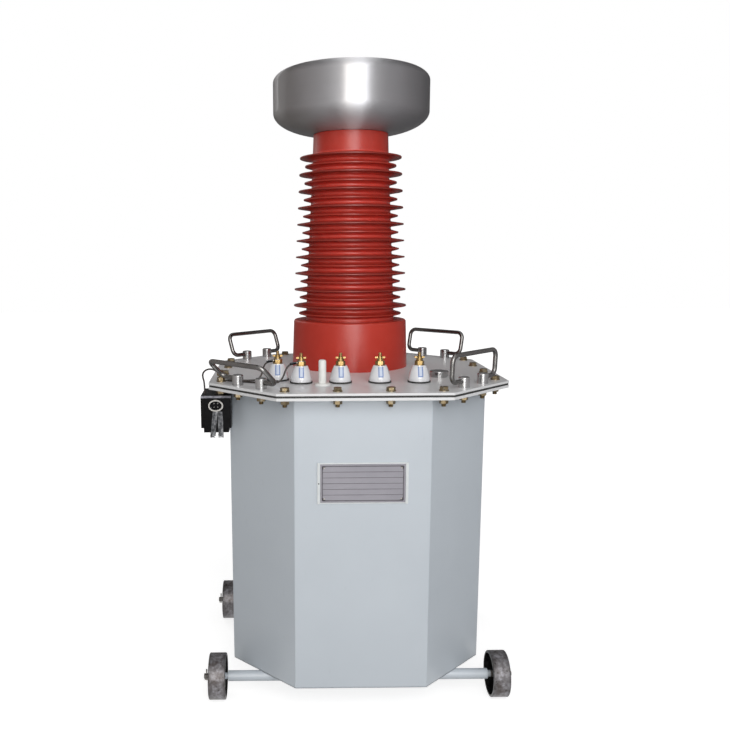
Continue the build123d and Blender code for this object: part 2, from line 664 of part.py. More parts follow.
def socket_box():
    # Box hung from a boss under the flange, with a narrower back part beside the tank.
    top = FLANGE_BOTTOM - BOX_HANG_GAP
    low = top - BOX_HEIGHT
    left = BOX_CENTRE_X - BOX_WIDTH / 2
    outline = [
        Vector(left, BOX_BACK_Y, top),
        Vector(left, BOX_FRONT_Y + BOX_BEVEL_DEPTH, top),
        Vector(left, BOX_FRONT_Y, top - BOX_BEVEL_DROP),
        Vector(left, BOX_FRONT_Y, low),
        Vector(left, BOX_BACK_Y, low),
    ]
    body = extrude(Face(Wire.make_polygon(outline)), amount=BOX_WIDTH, dir=(1, 0, 0))
    plinth = Box(BOX_WIDTH - 2 * BOX_PLINTH_INSET, BOX_DEPTH - 2 * BOX_PLINTH_SETBACK, BOX_PLINTH_HEIGHT)
    body += Pos(BOX_CENTRE_X, BOX_BACK_Y - BOX_DEPTH / 2, low - BOX_PLINTH_HEIGHT / 2) * plinth
    rear_width = -(TANK_HALF_WIDTH + BOX_TANK_GAP) - left
    rear = Box(rear_width, BOX_REAR_DEPTH, BOX_REAR_HEIGHT)
    rear_place = (left + rear_width / 2, BOX_BACK_Y + BOX_REAR_DEPTH / 2, top - BOX_REAR_HEIGHT / 2)
    body += Pos(*rear_place) * rear
    body += Pos(*earth_place()) * standing_cylinder(BOX_BOSS_RADIUS, top, FLANGE_BOTTOM)
    return body - extrude(socket_face() * socket_mouth(), amount=SOCKET_RECESS_DEPTH, dir=(0, 1, 0))


def socket_ring():
    ring = Ellipse(SOCKET_HALF_WIDTH, SOCKET_HALF_HEIGHT) - socket_mouth()
    return extrude(socket_face() * ring, amount=SOCKET_RING_STANDOUT, dir=(0, -1, 0))


def braid_tail(side):
    # Flat strip that hangs from under the ring and splays a little to its side.
    strip = Pos(0, 0, -BRAID_LENGTH / 2) * Box(BRAID_WIDTH, BRAID_THICKNESS, BRAID_LENGTH)
    y = BOX_FRONT_Y - BRAID_FACE_GAP - BRAID_THICKNESS / 2
    top = FLANGE_BOTTOM - SOCKET_DROP - SOCKET_HALF_HEIGHT - BRAID_THICKNESS / 2
    place = Pos(BOX_CENTRE_X + BRAID_SIDE_SHIFT + side * BRAID_SPACING / 2, y, top)
    return place * Rot(0, -side * BRAID_SPLAY_ANGLES[side], 0) * strip


def lead(route):
    # Round lead of straight runs joined by arcs as large as the runs allow.
    points = [Vector(*point) for point in route]
    radii = []
    for before, at, after in zip(points, points[1:], points[2:]):
        shorter = min((at - before).length, (after - at).length)
        half_turn = math.radians((at - before).get_angle(after - at)) / 2
        radii.append(LEAD_ARC_SHARE * shorter / math.tan(half_turn))
    path = FilletPolyline(*points, radius=radii)
    tube = sweep(Plane(origin=path @ 0, z_dir=path % 0) * Circle(LEAD_DIAMETER / 2), path=path)
    print("lead length", round(path.length, 1), "radii", [round(radius, 1) for radius in radii])
    print("lead volume share", round(tube.volume / (path.length * math.pi * LEAD_DIAMETER**2 / 4), 4))
    return tube


def build():
    nodes = {
        "tank_wall": tank_wall(),
        "tank_floor": tank_floor(),
        "tank_flange": tank_flange(),
        "cover_gasket": cover_gasket(),
        "cover_plate": cover_plate(),
        "front_axle": axle(-1),
        "rear_axle": axle(1),
        "axle_washers": axle_washers(),
        "split_pins": split_pins(),
        "high_voltage_bushing": high_voltage_bushing(),
        "corona_shield": corona_shield(),
        "output_stud": output_stud(),
        "breather_post": breather_post(),
        "filler_cap": filler_cap(),
        "earth_stud": earth_stud(),
        "nameplate_holder": nameplate_holder(),
        "nameplate": nameplate(),
        "socket_box": socket_box(),
        "socket_ring": socket_ring(),
        "braid_left": braid_tail(-1),
        "braid_right": braid_tail(1),
        "first_lead": lead(FIRST_LEAD_ROUTE),
        "second_lead": lead(SECOND_LEAD_ROUTE),
    }
    gaskets = []
    for number, place in enumerate(terminal_places(), start=1):
        spot = Pos(*place, 0)
        gaskets.append(spot * terminal_gasket())
        nodes[f"terminal_insulator_{number}"] = spot * terminal_insulator()
        nodes[f"terminal_stud_{number}"] = spot * terminal_stud()
    nodes["terminal_gaskets"] = Compound(children=gaskets)
    for corner, lean_angle in zip(CORNERS, BAIL_LEAN_ANGLES):
        nodes[f"handle_posts_{corner}"] = handle_posts(corner)
        nodes[f"bail_{corner}"] = bail(corner, lean_angle)
        nodes[f"wheel_{corner}"] = placed_wheel(corner)
    return nodes


os.makedirs("parts", exist_ok=True)
for name, shape in build().items():
    export_step(shape, f"parts/{name}.step")
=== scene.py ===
import json
import math
import random

import bmesh
import bpy
from mathutils import Matrix, Vector


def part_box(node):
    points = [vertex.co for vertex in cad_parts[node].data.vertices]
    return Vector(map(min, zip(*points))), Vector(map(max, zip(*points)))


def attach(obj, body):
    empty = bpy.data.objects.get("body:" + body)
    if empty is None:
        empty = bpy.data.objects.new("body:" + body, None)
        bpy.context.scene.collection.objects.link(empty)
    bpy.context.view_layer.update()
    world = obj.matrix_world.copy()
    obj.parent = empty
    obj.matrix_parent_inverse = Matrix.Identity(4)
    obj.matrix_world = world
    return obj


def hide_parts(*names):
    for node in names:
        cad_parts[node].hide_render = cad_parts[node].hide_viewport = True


# Looks of an oil-filled test transformer. Metres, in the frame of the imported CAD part.

# Cover bolts, M12 with washers, and the nuts under the flange.
BOLT_EDGE_SETBACK = 0.031
BOLT_STATIONS = (-0.190, -0.0635, 0.0635, 0.190)
BOLT_SKIP_DISTANCE = 0.010
BOLT_RADIUS = 0.006
BOLT_FLATS = 0.019
BOLT_HEAD_HEIGHT = 0.0078
BOLT_WASHER_RADIUS = 0.012
BOLT_WASHER_THICKNESS = 0.0025
NUT_HEIGHT = 0.0105
HANGER_NUT_FLATS = 0.024
HANGER_WASHER_RADIUS = 0.0155
THREAD_PITCH = 0.00175
THREAD_DEPTH = 0.0009
THREAD_STANDOUT = 0.007
HEX_CHAMFER = 0.0012
POST_HALF_SPACING = 0.0425

# Weld bead between the tank and the flange.
TANK_CHAMFER = 0.167
WELD_RADIUS = 0.0042
WELD_RIPPLE = 0.0005
WELD_STEP = 0.0035
WELD_SHARP_DEG = 60.0

# Print and rivets on the nameplate.
PRINT_LIFT = 0.00025
PRINT_BORDER_INSET = 0.005
PRINT_LINE_WIDTH = 0.0011
PRINT_BORDER_WIDTH = 0.0024
PRINT_CORNER = 0.009
PRINT_ROWS = 6
RIVET_RADIUS = 0.0022
RIVET_INSET = 0.0095
RIVET_DOME_SHARES = ((1.0, 0.0), (0.92, 0.3), (0.55, 0.55))
HOLDER_SCREW_RADIUS = 0.0016
HOLDER_SCREW_LIFT = 0.0004

# Blank strips on the porcelain cones.
CONE_BASE_RADIUS = 0.027
CONE_TOP_RADIUS = 0.0165
CONE_SKIRT_HEIGHT = 0.007
CONE_HEIGHT = 0.040
CONE_BULGE = 0.0012
LABEL_LOW = 0.012
LABEL_HIGH = 0.0375
LABEL_HALF_WIDTH = 0.0066
LABEL_EDGE_WIDTH = 0.0030
LABEL_LIFT = 0.0003
LABEL_STEPS = 6

# Threads on the brass studs and on the earth stud.
TERMINAL_NUMBERS = range(1, 6)
STUD_RADIUS = 0.004
OUTPUT_STUD_RADIUS = 0.005
STUD_THREAD_PITCH = 0.00125
STUD_THREAD_DEPTH = 0.0005
STUD_THREAD_LIFT = 0.0002
STUD_TIP_LENGTH = 0.010
OUTPUT_TIP_LENGTH = 0.018
EARTH_TIP_LENGTH = 0.018
EARTH_UPPER_NUT_GAP = 0.0035
EARTH_NUT_TURN_RAD = 0.4
EARTH_THREAD_RADIUS = 0.006

# Insert and pins inside the socket.
INSERT_DEPTH = 0.006
INSERT_HALF_WIDTH = 0.0150
INSERT_HALF_HEIGHT = 0.0110
INSERT_THICKNESS = 0.003
INSERT_ROUND = 0.001
INSERT_FACE_SHARE = 0.94
PIN_RADIUS = 0.0018
PIN_LENGTH = 0.005
PIN_SPREAD = 0.0065
PIN_SHANK_SHARE = 0.8
PIN_TIP_SHARE = 0.5

# Leads, with the routes of the CAD part, and what is at their ends.
LEAD_DIAMETER = 0.0045
LEAD_ROUTES = {
    "first_lead": [
        (-0.2204, -0.177, 0.901),
        (-0.236, -0.180, 0.899),
        (-0.246, -0.182, 0.885),
        (-0.249, -0.183, 0.866),
        (-0.260, -0.187, 0.8528),
        (-0.281, -0.193, 0.8524),
        (-0.306, -0.192, 0.8524),
        (-0.332, -0.179, 0.8524),
        (-0.348, -0.164, 0.858),
        (-0.364, -0.153, 0.868),
        (-0.380, -0.149, 0.877),
        (-0.396, -0.155, 0.876),
        (-0.404, -0.168, 0.868),
        (-0.402, -0.181, 0.858),
        (-0.397, -0.191, 0.847),
        (-0.397, -0.191, 0.818),
    ],
    "second_lead": [
        (-0.1604, -0.222, 0.901),
        (-0.177, -0.226, 0.899),
        (-0.188, -0.229, 0.885),
        (-0.193, -0.231, 0.867),
        (-0.204, -0.234, 0.8532),
        (-0.226, -0.236, 0.8524),
        (-0.251, -0.231, 0.8524),
        (-0.277, -0.221, 0.8524),
        (-0.300, -0.210, 0.8524),
        (-0.321, -0.201, 0.8524),
        (-0.3415, -0.195, 0.8535),
    ],
}
LUG_RING_RADIUS = 0.0105
LUG_THICKNESS = 0.0016
LUG_RISE = 0.0040
LUG_TONGUE_SHARES = (0.8, 0.3)
LUG_TONGUE_RADIUS_SHARE = 0.45
SLEEVE_RADIUS = 0.0034
SLEEVE_LENGTH = 0.017
SLEEVE_ROUND = 0.001
SLEEVE_END_SHARES = (0.8, 0.75)

# Flat braid tails under the socket.
BRAID_WIDTH = 0.011
BRAID_STRANDS = 30
BRAID_STRAND_RADIUS = 0.00050
BRAID_WEAVE_DEPTH = 0.0006
BRAID_WEAVE_LENGTH = 0.009
BRAID_FRAY_SHARE = 0.35
BRAID_FRAY_REACH = 0.0024
BRAID_FRAY_DEPTH_SHARE = 0.3
BRAID_BODY_SHARE = 1.2
BRAID_END_SHARES = (0.86, 1.08)
BRAID_ROUTE_SHARES = (0.0, 0.3, 0.62, 1.0)

# Sides and steps of round forms and curves, and the turn between faces that shows as an edge.
SHARP_DEG = 35.0
ROUND_SIDES = 32
THREAD_SIDES = 28
SMALL_SIDES = 20
SOCKET_SIDES = 40
PIN_SIDES = 16
TONGUE_SIDES = 12
WELD_SIDES = 10
STRAND_SIDES = 6
CURVE_STEPS = 16
LEAD_BEVEL_STEPS = 6

# Widths of the rounded edges on some of the nodes.
SOFT_EDGES = {
    "tank_wall": 0.0035,
    "cover_plate": 0.0008,
    "tank_flange": 0.0008,
    "socket_box": 0.0026,
    "nameplate_holder": 0.0005,
}
SOFT_EDGE_STEPS = 3
SOFT_EDGE_ANGLE_DEG = 30.0
JOIN_DISTANCE = 0.00001

# Camera fitted to the photograph's frame of 730 pixels.
FRAME_PIXELS = 730
CAMERA_PLACE = (-0.1842, -2.2495, 1.1779)
CAMERA_YAW_DEG = 0.39
CAMERA_PITCH_DEG = 9.58
CAMERA_ROLL_DEG = -0.33
CAMERA_FOCAL_PIXELS = 807.7
CAMERA_CENTRE_PIXELS = (292.5, 388.4)
SENSOR_WIDTH_MM = 36.0

# Floor and world of the studio.
FLOOR_HALF_SIZE = 14.0
FLOOR_TONES = ((0.44, 0.44, 0.44), (0.46, 0.46, 0.46))
FLOOR_GLOW = (0.79, 1.0)
FLOOR_GLOW_REACH = (0.8, 3.0)
WORLD_LIGHT = 0.24
WHITE = (1.0, 1.0, 1.0, 1.0)

# Cards seen only in reflections: half width and height of tops and feet, ends along Y, near edge and
# slot of those overhead, and tones from front to back.
CARD_TOP = (1.25, 2.9)
CARD_FOOT = (0.52, 0.02)
CARD_ENDS = (-2.9, 2.3)
CEILING_NEAR = -0.7
CEILING_SLOT = (-0.25, 0.45)
CARD_FADE = (-1.6, 0.8)
WARM_CARD_STOPS = [(0.0, (0.92, 0.90, 0.89)), (0.45, (0.92, 0.89, 0.88)), (1.0, (0.50, 0.46, 0.42))]
COOL_CARD_STOPS = [(0.0, (0.92, 0.91, 0.92)), (0.45, (0.90, 0.89, 0.91)), (1.0, (0.30, 0.295, 0.30))]

# Lamps, all turned to one point: place, width and height, power in watts, and colour.
AIM = Vector((0.0, 0.0, 0.9))
LAMPS = {
    "key": ((0.52, -3.4, 1.95), (1.3, 3.3), 68.0, (0.98, 0.99, 1.0)),
    "key_left": ((-0.50, -3.4, 1.95), (0.5, 3.3), 26.0, (1.0, 0.95, 0.88)),
    "overhead": ((0.3, -0.2, 4.0), (2.2, 2.2), 4.0, (1.0, 1.0, 1.0)),
    "fill_left": ((-2.6, -2.0, 2.1), (1.3, 1.3), 5.0, (1.0, 0.97, 0.94)),
    "fill_right": ((2.6, -2.0, 2.1), (1.3, 1.3), 9.0, (1.0, 1.0, 1.0)),
    "back_left": ((-2.2, 2.4, 2.4), (1.4, 1.4), 22.0, (1.0, 1.0, 1.0)),
}

# Painted light that brightens the trunk between the bushing's sheds, and painted shade that darkens the
# sheds towards their rims.
SHED_ZONE = (0.987, 1.452)
TRUNK_RADII = (0.127, 0.107)
SHED_SHADE_REACH = (0.010, 0.030)
SHED_FADE = 0.004
SHED_SHADE_SHARE = 0.62
TRUNK_LIGHT_REACH = (0.014, 0.004)

# Paint on the axles ends just inside the wheels.
STUB_PAINT_REACH = 0.003
STUB_PAINT_FADE = 0.002

# Depths of the materials' bumps, and how far each colour of light scatters in the resin.
BUMP_DEPTHS = {
    "paint": 0.0006,
    "rubber": 0.0004,
    "cast_iron": 0.0010,
    "resin": 0.0008,
    "spun_metal": 0.0002,
    "brushed": 0.0003,
    "zinc": 0.0002,
    "glaze": 0.0005,
    "moulded": 0.0004,
    "enamel": 0.0003,
    "braid": 0.0003,
}
RESIN_SCATTER = (0.006, 0.002, 0.001)

# Shares used in the materials.
SCUFF_SHARE = 0.62
TREAD_SHARES = (0.955, 0.985)
TREAD_EDGE_SHADE_SHARES = (0.45, 1.0)

# Paints: dark and light tone, roughness, and weight of the clear coat.
PAINTS = {
    "tank_paint": ((0.505, 0.550, 0.598), (0.530, 0.576, 0.624), 0.36, 0.2),
    # The cover paint is a lighter copy of the tank's grey, which paints light onto the cover and the
    # flange.
    "cover_paint": ((0.690, 0.695, 0.705), (0.715, 0.720, 0.730), 0.32, 0.05),
}

# Metals with lines: dark and light tone, roughness, the lines' stretch, scale and bump, metallic share.
BRUSHED_METALS = {
    "plain_steel": ((0.30, 0.28, 0.26), (0.48, 0.46, 0.43), 0.42, (1, 1, 1), 400.0, 0.2, 1.0),
    "terminal_brass": ((0.27, 0.18, 0.072), (0.43, 0.30, 0.13), 0.26, (1, 1, 3), 240.0, 0.15, 1.0),
    "polished_steel": ((0.40, 0.40, 0.40), (0.54, 0.54, 0.54), 0.15, (1, 1, 0.1), 500.0, 0.05, 1.0),
    "bail_steel": ((0.16, 0.156, 0.152), (0.27, 0.262, 0.254), 0.20, (1, 1, 1), 260.0, 0.06, 1.0),
    "plate_silver": ((0.235, 0.228, 0.255), (0.285, 0.277, 0.305), 0.45, (0.04, 1, 1), 700.0, 0.08, 0.5),
    "ring_steel": ((0.27, 0.265, 0.255), (0.40, 0.395, 0.385), 0.32, (1, 1, 1), 400.0, 0.1, 1.0),
}

# Mouldings and inks: dark and light tone, roughness, and scale of the grain.
MOULDINGS = {
    "white_nylon": ((0.70, 0.70, 0.68), (0.80, 0.80, 0.78), 0.42, 300.0),
    "holder_white": ((0.62, 0.65, 0.66), (0.70, 0.73, 0.74), 0.4, 500.0),
    "lead_black": ((0.016, 0.013, 0.012), (0.055, 0.040, 0.034), 0.4, 900.0),
    "print_ink": ((0.06, 0.055, 0.065), (0.11, 0.10, 0.115), 0.5, 900.0),
    "label_blue": ((0.15, 0.22, 0.44), (0.21, 0.29, 0.52), 0.35, 900.0),
    "label_white": ((0.46, 0.53, 0.66), (0.54, 0.60, 0.72), 0.35, 900.0),
}

# Nodes whose finish departs from their slot.
NODE_FINISHES = {
    # The flange takes the lighter cover paint, as painted light on its pale edges.
    "tank_flange": "cover_paint",
    "socket_ring": "ring_steel",
    "front_axle": "axle_paint",
    "rear_axle": "axle_paint",
}

MAIN_BODY = "transformer"
SEED = 7
FACE_ON = Matrix.Rotation(math.pi / 2, 4, "X")


def node_corners(name):
    return [Vector(corner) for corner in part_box(name)]


def node_centre(name):
    low, high = node_corners(name)
    return (low + high) / 2


def under_node(name):
    # Frame at floor level under a node's middle.
    centre = node_centre(name)
    return Matrix.Translation((centre.x, centre.y, 0.0))


def quarter_turns(start=0.0):
    return [Matrix.Rotation(start + quarter * math.pi / 2, 3, "Z") for quarter in range(4)]


def pointed(place, direction):
    # Frame at a place, with Z along a direction.
    return Matrix.Translation(place) @ direction.to_track_quat("Z", "Y").to_matrix().to_4x4()


# Materials.


def new_material(name):
    material = bpy.data.materials.new(name)
    material.use_nodes = True
    return material, material.node_tree.nodes["Principled BSDF"]


def add_node(material, kind, **values):
    node = material.node_tree.nodes.new(kind)
    for key, value in values.items():
        if key in node.inputs:
            node.inputs[key].default_value = value
        else:
            setattr(node, key, value)
    return node


def link(material, source, target):
    material.node_tree.links.new(source, target)


def fix(shader, **values):
    # Sets inputs, with _ for the spaces in their names.
    for name, value in values.items():
        shader.inputs[name.replace("_", " ")].default_value = value


def dress(material, shader, tone, gloss, **values):
    # Links the colour and the roughness, and sets other inputs.
    link(material, tone, shader.inputs["Base Color"])
    link(material, gloss, shader.inputs["Roughness"])
    fix(shader, **values)


def coordinates(material, stretch=(1, 1, 1)):
    # Object coordinates, which are the frame's metres on CAD nodes and pieces alike.
    source = add_node(material, "ShaderNodeTexCoord")
    mapping = add_node(material, "ShaderNodeMapping", Scale=stretch)
    link(material, source.outputs["Object"], mapping.inputs["Vector"])
    return mapping.outputs["Vector"]


def noise(material, scale, detail=4.0, stretch=(1, 1, 1)):
    node = add_node(material, "ShaderNodeTexNoise", Scale=scale, Detail=detail)
    link(material, coordinates(material, stretch), node.inputs["Vector"])
    return node.outputs["Fac"]


def ramp(material, source, stops):
    node = add_node(material, "ShaderNodeValToRGB")
    elements = node.color_ramp.elements
    while len(elements) < len(stops):
        elements.new(1.0)
    for element, (place, colour) in zip(elements, stops):
        element.position = place
        element.color = (*colour, 1.0)
    link(material, source, node.inputs["Fac"])
    return node.outputs["Color"]


def clouds(material, scale, detail, dark, light, shares=(0.3, 0.7)):
    # Cloudy mix of two tones, pure at the two shares of the noise.
    return ramp(material, noise(material, scale, detail), list(zip(shares, (dark, light))))


def spread(material, source, low, high, from_low=0.3, from_high=0.7):
    # Maps a range, by default the usual reach of the noise, to another.
    ends = {"From Min": from_low, "From Max": from_high, "To Min": low, "To Max": high}
    node = add_node(material, "ShaderNodeMapRange", **ends)
    link(material, source, node.inputs["Value"])
    return node.outputs["Result"]


def blend(material, factor, first, second):
    # Sockets 6 and 7 and output 2 of a mix node are its colours.
    node = add_node(material, "ShaderNodeMix", data_type="RGBA")
    link(material, factor, node.inputs["Factor"])
    for value, socket in ((first, node.inputs[6]), (second, node.inputs[7])):
        if isinstance(value, tuple):
            socket.default_value = (*value, 1.0)
        else:
            link(material, value, socket)
    return node.outputs[2]


def combine(material, operation, first, second):
    # Sum, product or the like of a socket and either another socket or a number.
    node = add_node(material, "ShaderNodeMath", operation=operation)
    link(material, first, node.inputs[0])
    if isinstance(second, float):
        node.inputs[1].default_value = second
    else:
        link(material, second, node.inputs[1])
    return node.outputs[0]


def product(material, first, second):
    return combine(material, "MULTIPLY", first, second)


def measure(material, operation, vector, point=(0.0, 0.0, 0.0)):
    node = add_node(material, "ShaderNodeVectorMath", operation=operation)
    link(material, vector, node.inputs[0])
    node.inputs[1].default_value = point
    return node.outputs


def axes_of(material, vector):
    node = add_node(material, "ShaderNodeSeparateXYZ")
    link(material, vector, node.inputs["Vector"])
    return node.outputs


def bump(material, shader, source, strength, depth):
    node = add_node(material, "ShaderNodeBump", Strength=strength, Distance=depth)
    link(material, source, node.inputs["Height"])
    link(material, node.outputs["Normal"], shader.inputs["Normal"])


def facing_up(material, low, high):
    # Rises from nought to one as a face turns upwards.
    geometry = add_node(material, "ShaderNodeNewGeometry")
    return spread(material, axes_of(material, geometry.outputs["Normal"])["Z"], 0.0, 1.0, low, high)


def height_share(material, low, high):
    # Rises from nought to one between two heights.
    return spread(material, axes_of(material, coordinates(material))["Z"], 0.0, 1.0, low, high)


def sideways(material):
    # Distance to either side of the middle.
    return measure(material, "LENGTH", coordinates(material, (1, 0, 0)))["Value"]


def paint(name, dark, light, roughness, coat):
    # Sprayed gloss paint: faint cloudy tone, orange peel and a few dull scuffs.
    material, shader = new_material(name)
    tone = clouds(material, 5.0, 6.0, dark, light)
    scuffs = spread(material, noise(material, 60.0, 8.0, (1, 1, 0.35)), 0.0, 0.10, 0.66, 0.76)
    tone = blend(material, scuffs, tone, tuple(value * SCUFF_SHARE for value in dark))
    gloss = spread(material, noise(material, 14.0, 5.0), roughness - 0.03, roughness + 0.05)
    dress(material, shader, tone, gloss, Coat_Weight=coat, Coat_Roughness=0.12)
    bump(material, shader, noise(material, 420.0, 2.0), 0.08, BUMP_DEPTHS["paint"])
    return material


def axle_paint():
    # Tank paint on the tube, and dark greasy steel on the stub ends that carry the wheels.
    material = paint("axle_paint", *PAINTS["tank_paint"])
    shader = material.node_tree.nodes["Principled BSDF"]
    painted = shader.inputs["Base Color"].links[0].from_socket
    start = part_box("wheel_front_right")[0][0] + STUB_PAINT_REACH
    bare = spread(material, sideways(material), 0.0, 1.0, start, start + STUB_PAINT_FADE)
    grease = clouds(material, 160.0, 6.0, (0.05, 0.044, 0.04), (0.17, 0.155, 0.145), (0.35, 0.7))
    link(material, blend(material, bare, painted, grease), shader.inputs["Base Color"])
    return material


def rubber():
    material, shader = new_material("rubber_black")
    tone = clouds(material, 70.0, 6.0, (0.012, 0.012, 0.013), (0.05, 0.048, 0.045), (0.35, 0.8))
    dress(material, shader, tone, spread(material, noise(material, 35.0), 0.55, 0.8))
    bump(material, shader, noise(material, 900.0, 3.0), 0.25, BUMP_DEPTHS["rubber"])
    return material


def axle_distance(material):
    # Distance from a wheel's axle, the same for the front and the rear pair.
    centre = node_centre("wheel_front_right")
    mirrored = measure(material, "ABSOLUTE", coordinates(material, (0, 1, 1)))["Vector"]
    return measure(material, "DISTANCE", mirrored, (0.0, abs(centre.y), centre.z))["Value"]


def tread_edge_shade(material):
    # Painted shade: rises to one near the two edges of a wheel's tread, the same for all four wheels.
    low, high = node_corners("wheel_front_right")
    offset = combine(material, "SUBTRACT", sideways(material), (low.x + high.x) / 2)
    distance = add_node(material, "ShaderNodeMath", operation="ABSOLUTE")
    link(material, offset, distance.inputs[0])
    half = (high.x - low.x) / 2
    return spread(material, distance.outputs[0], 0.0, 1.0, *(half * share for share in TREAD_EDGE_SHADE_SHARES))


def cast_iron():
    # Cast wheels: black paint in the dish, rubbed grey-brown iron with rust and dust on the tread, and
    # painted shade towards the tread's edges.
    material, shader = new_material("cast_iron")
    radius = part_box("wheel_front_right")[1][2] / 2
    bare = spread(material, axle_distance(material), 0.0, 1.0, *(radius * share for share in TREAD_SHARES))
    grain = noise(material, 110.0, 8.0)
    stops = [(0.3, (0.075, 0.068, 0.068)), (0.52, (0.185, 0.175, 0.182)), (0.78, (0.36, 0.355, 0.385))]
    tone = ramp(material, grain, stops)
    rust = spread(material, noise(material, 34.0, 9.0), 0.0, 0.75, 0.50, 0.66)
    tone = blend(material, rust, tone, (0.060, 0.046, 0.041))
    pale_share = spread(material, noise(material, 48.0, 7.0), 0.0, 0.45, 0.52, 0.72)
    tone = blend(material, pale_share, tone, (0.48, 0.48, 0.52))
    # Painted shade: near-black patches towards the two edges of the tread.
    patches = spread(material, noise(material, 55.0, 7.0), 0.25, 1.0)
    tone = blend(material, product(material, tread_edge_shade(material), patches), tone, (0.022, 0.019, 0.018))
    painted = ramp(material, grain, [(0.3, (0.006, 0.006, 0.007)), (0.8, (0.028, 0.026, 0.026))])
    tone = blend(material, bare, painted, tone)
    dress(material, shader, tone, spread(material, grain, 0.26, 0.42), Metallic=0.45)
    bump(material, shader, grain, 0.35, BUMP_DEPTHS["cast_iron"])
    return material


def axis_place(material, centre):
    # Distance from an upright axis, and height.
    axis = (centre.x, centre.y, 0.0)
    radius = measure(material, "DISTANCE", coordinates(material, (1, 1, 0)), axis)["Value"]
    return radius, axes_of(material, coordinates(material))["Z"]


def shed_light_and_shade(material):
    # One for painted light on the bare trunk between the sheds, and a share of painted shade that rises
    # towards the sheds' rims.
    radius, height = axis_place(material, node_centre("high_voltage_bushing"))
    trunk = spread(material, height, *TRUNK_RADII, *SHED_ZONE)
    overhang = combine(material, "SUBTRACT", radius, trunk)
    low, high = SHED_ZONE
    above = height_share(material, low, low + SHED_FADE)
    below = height_share(material, high, high - SHED_FADE)
    bare = spread(material, overhang, 0.0, 1.0, *TRUNK_LIGHT_REACH)
    rim = spread(material, overhang, 0.0, SHED_SHADE_SHARE, *SHED_SHADE_REACH)
    return product(material, bare, product(material, above, below)), product(material, rim, above)


def bushing_resin():
    # Cast red resin: slightly cloudy and satin, with painted light on the trunk, painted shade towards the
    # sheds' rims, and dust on upward faces that is also a painted highlight.
    material, shader = new_material("bushing_resin")
    tone = clouds(material, 9.0, 6.0, (0.43, 0.022, 0.009), (0.48, 0.028, 0.013))
    # Pale dust on upward faces, which also serves as a painted highlight on the tops of the sheds.
    dust_and_highlight = spread(material, noise(material, 40.0, 7.0), 0.0, 0.07)
    tone = blend(material, product(material, facing_up(material, 0.6, 1.0), dust_and_highlight), tone, (0.62, 0.36, 0.32))
    # Painted light: a brighter red on the trunk. Painted shade: a near-black red towards the sheds' rims.
    trunk_light, shed_shade = shed_light_and_shade(material)
    tone = blend(material, trunk_light, tone, (0.585, 0.058, 0.040))
    tone = blend(material, shed_shade, tone, (0.10, 0.010, 0.006))
    gloss = spread(material, noise(material, 30.0, 5.0), 0.30, 0.38)
    scatter = {"Subsurface_Weight": 0.04, "Subsurface_Radius": RESIN_SCATTER}
    dress(material, shader, tone, gloss, Specular_IOR_Level=0.54, **scatter)
    bump(material, shader, noise(material, 240.0, 3.0), 0.08, BUMP_DEPTHS["resin"])
    return material


def ring_noise(material, centre, scale, detail):
    # Noise that is the same all the way round an upright axis, as turning leaves it.
    radius, height = axis_place(material, centre)
    place = add_node(material, "ShaderNodeCombineXYZ")
    link(material, radius, place.inputs["X"])
    link(material, height, place.inputs["Z"])
    texture = add_node(material, "ShaderNodeTexNoise", Scale=scale, Detail=detail)
    link(material, place.outputs["Vector"], texture.inputs["Vector"])
    return texture.outputs["Fac"]


def spun_metal():
    # Satin metal turned on a lathe: fine rings draw the reflections out upwards.
    material, shader = new_material("spun_metal")
    centre = node_centre("corona_shield")
    fine = ring_noise(material, centre, 900.0, 4.0)
    broad = ring_noise(material, centre, 45.0, 3.0)
    tone = clouds(material, 7.0, 5.0, (0.45, 0.448, 0.462), (0.49, 0.488, 0.504))
    tone = blend(material, spread(material, broad, 0.0, 0.25), tone, (0.42, 0.418, 0.428))
    gloss = spread(material, fine, 0.40, 0.45)
    dress(material, shader, tone, gloss, Metallic=1.0, Anisotropic=0.95, Anisotropic_Rotation=0.25)
    tangent = add_node(material, "ShaderNodeTangent", direction_type="RADIAL", axis="Z")
    link(material, tangent.outputs["Tangent"], shader.inputs["Tangent"])
    bump(material, shader, fine, 0.03, BUMP_DEPTHS["spun_metal"])
    return material


def brushed(name, dark, light, roughness, stretch, scale, strength, metallic):
    # Metal with fine lines, drawn out along the directions that the stretch makes small.
    material, shader = new_material(name)
    lines = noise(material, scale, 6.0, stretch)
    tone = clouds(material, 8.0, 5.0, dark, light)
    tone = blend(material, spread(material, lines, 0.0, 0.35), tone, dark)
    gloss = spread(material, lines, roughness - 0.06, roughness + 0.08)
    dress(material, shader, tone, gloss, Metallic=metallic)
    bump(material, shader, lines, strength, BUMP_DEPTHS["brushed"])
    return material


def yellow_zinc():
    # Passivated zinc gone dull: brown yellow with faint pink and green bloom.
    material, shader = new_material("yellow_zinc")
    stops = [
        (0.3, (0.18, 0.135, 0.075)),
        (0.5, (0.27, 0.215, 0.13)),
        (0.62, (0.25, 0.215, 0.16)),
        (0.75, (0.17, 0.155, 0.11)),
    ]
    tone = ramp(material, noise(material, 130.0, 5.0), stops)
    dress(material, shader, tone, spread(material, noise(material, 300.0, 4.0), 0.28, 0.5), Metallic=1.0)
    bump(material, shader, noise(material, 800.0, 3.0), 0.2, BUMP_DEPTHS["zinc"])
    return material


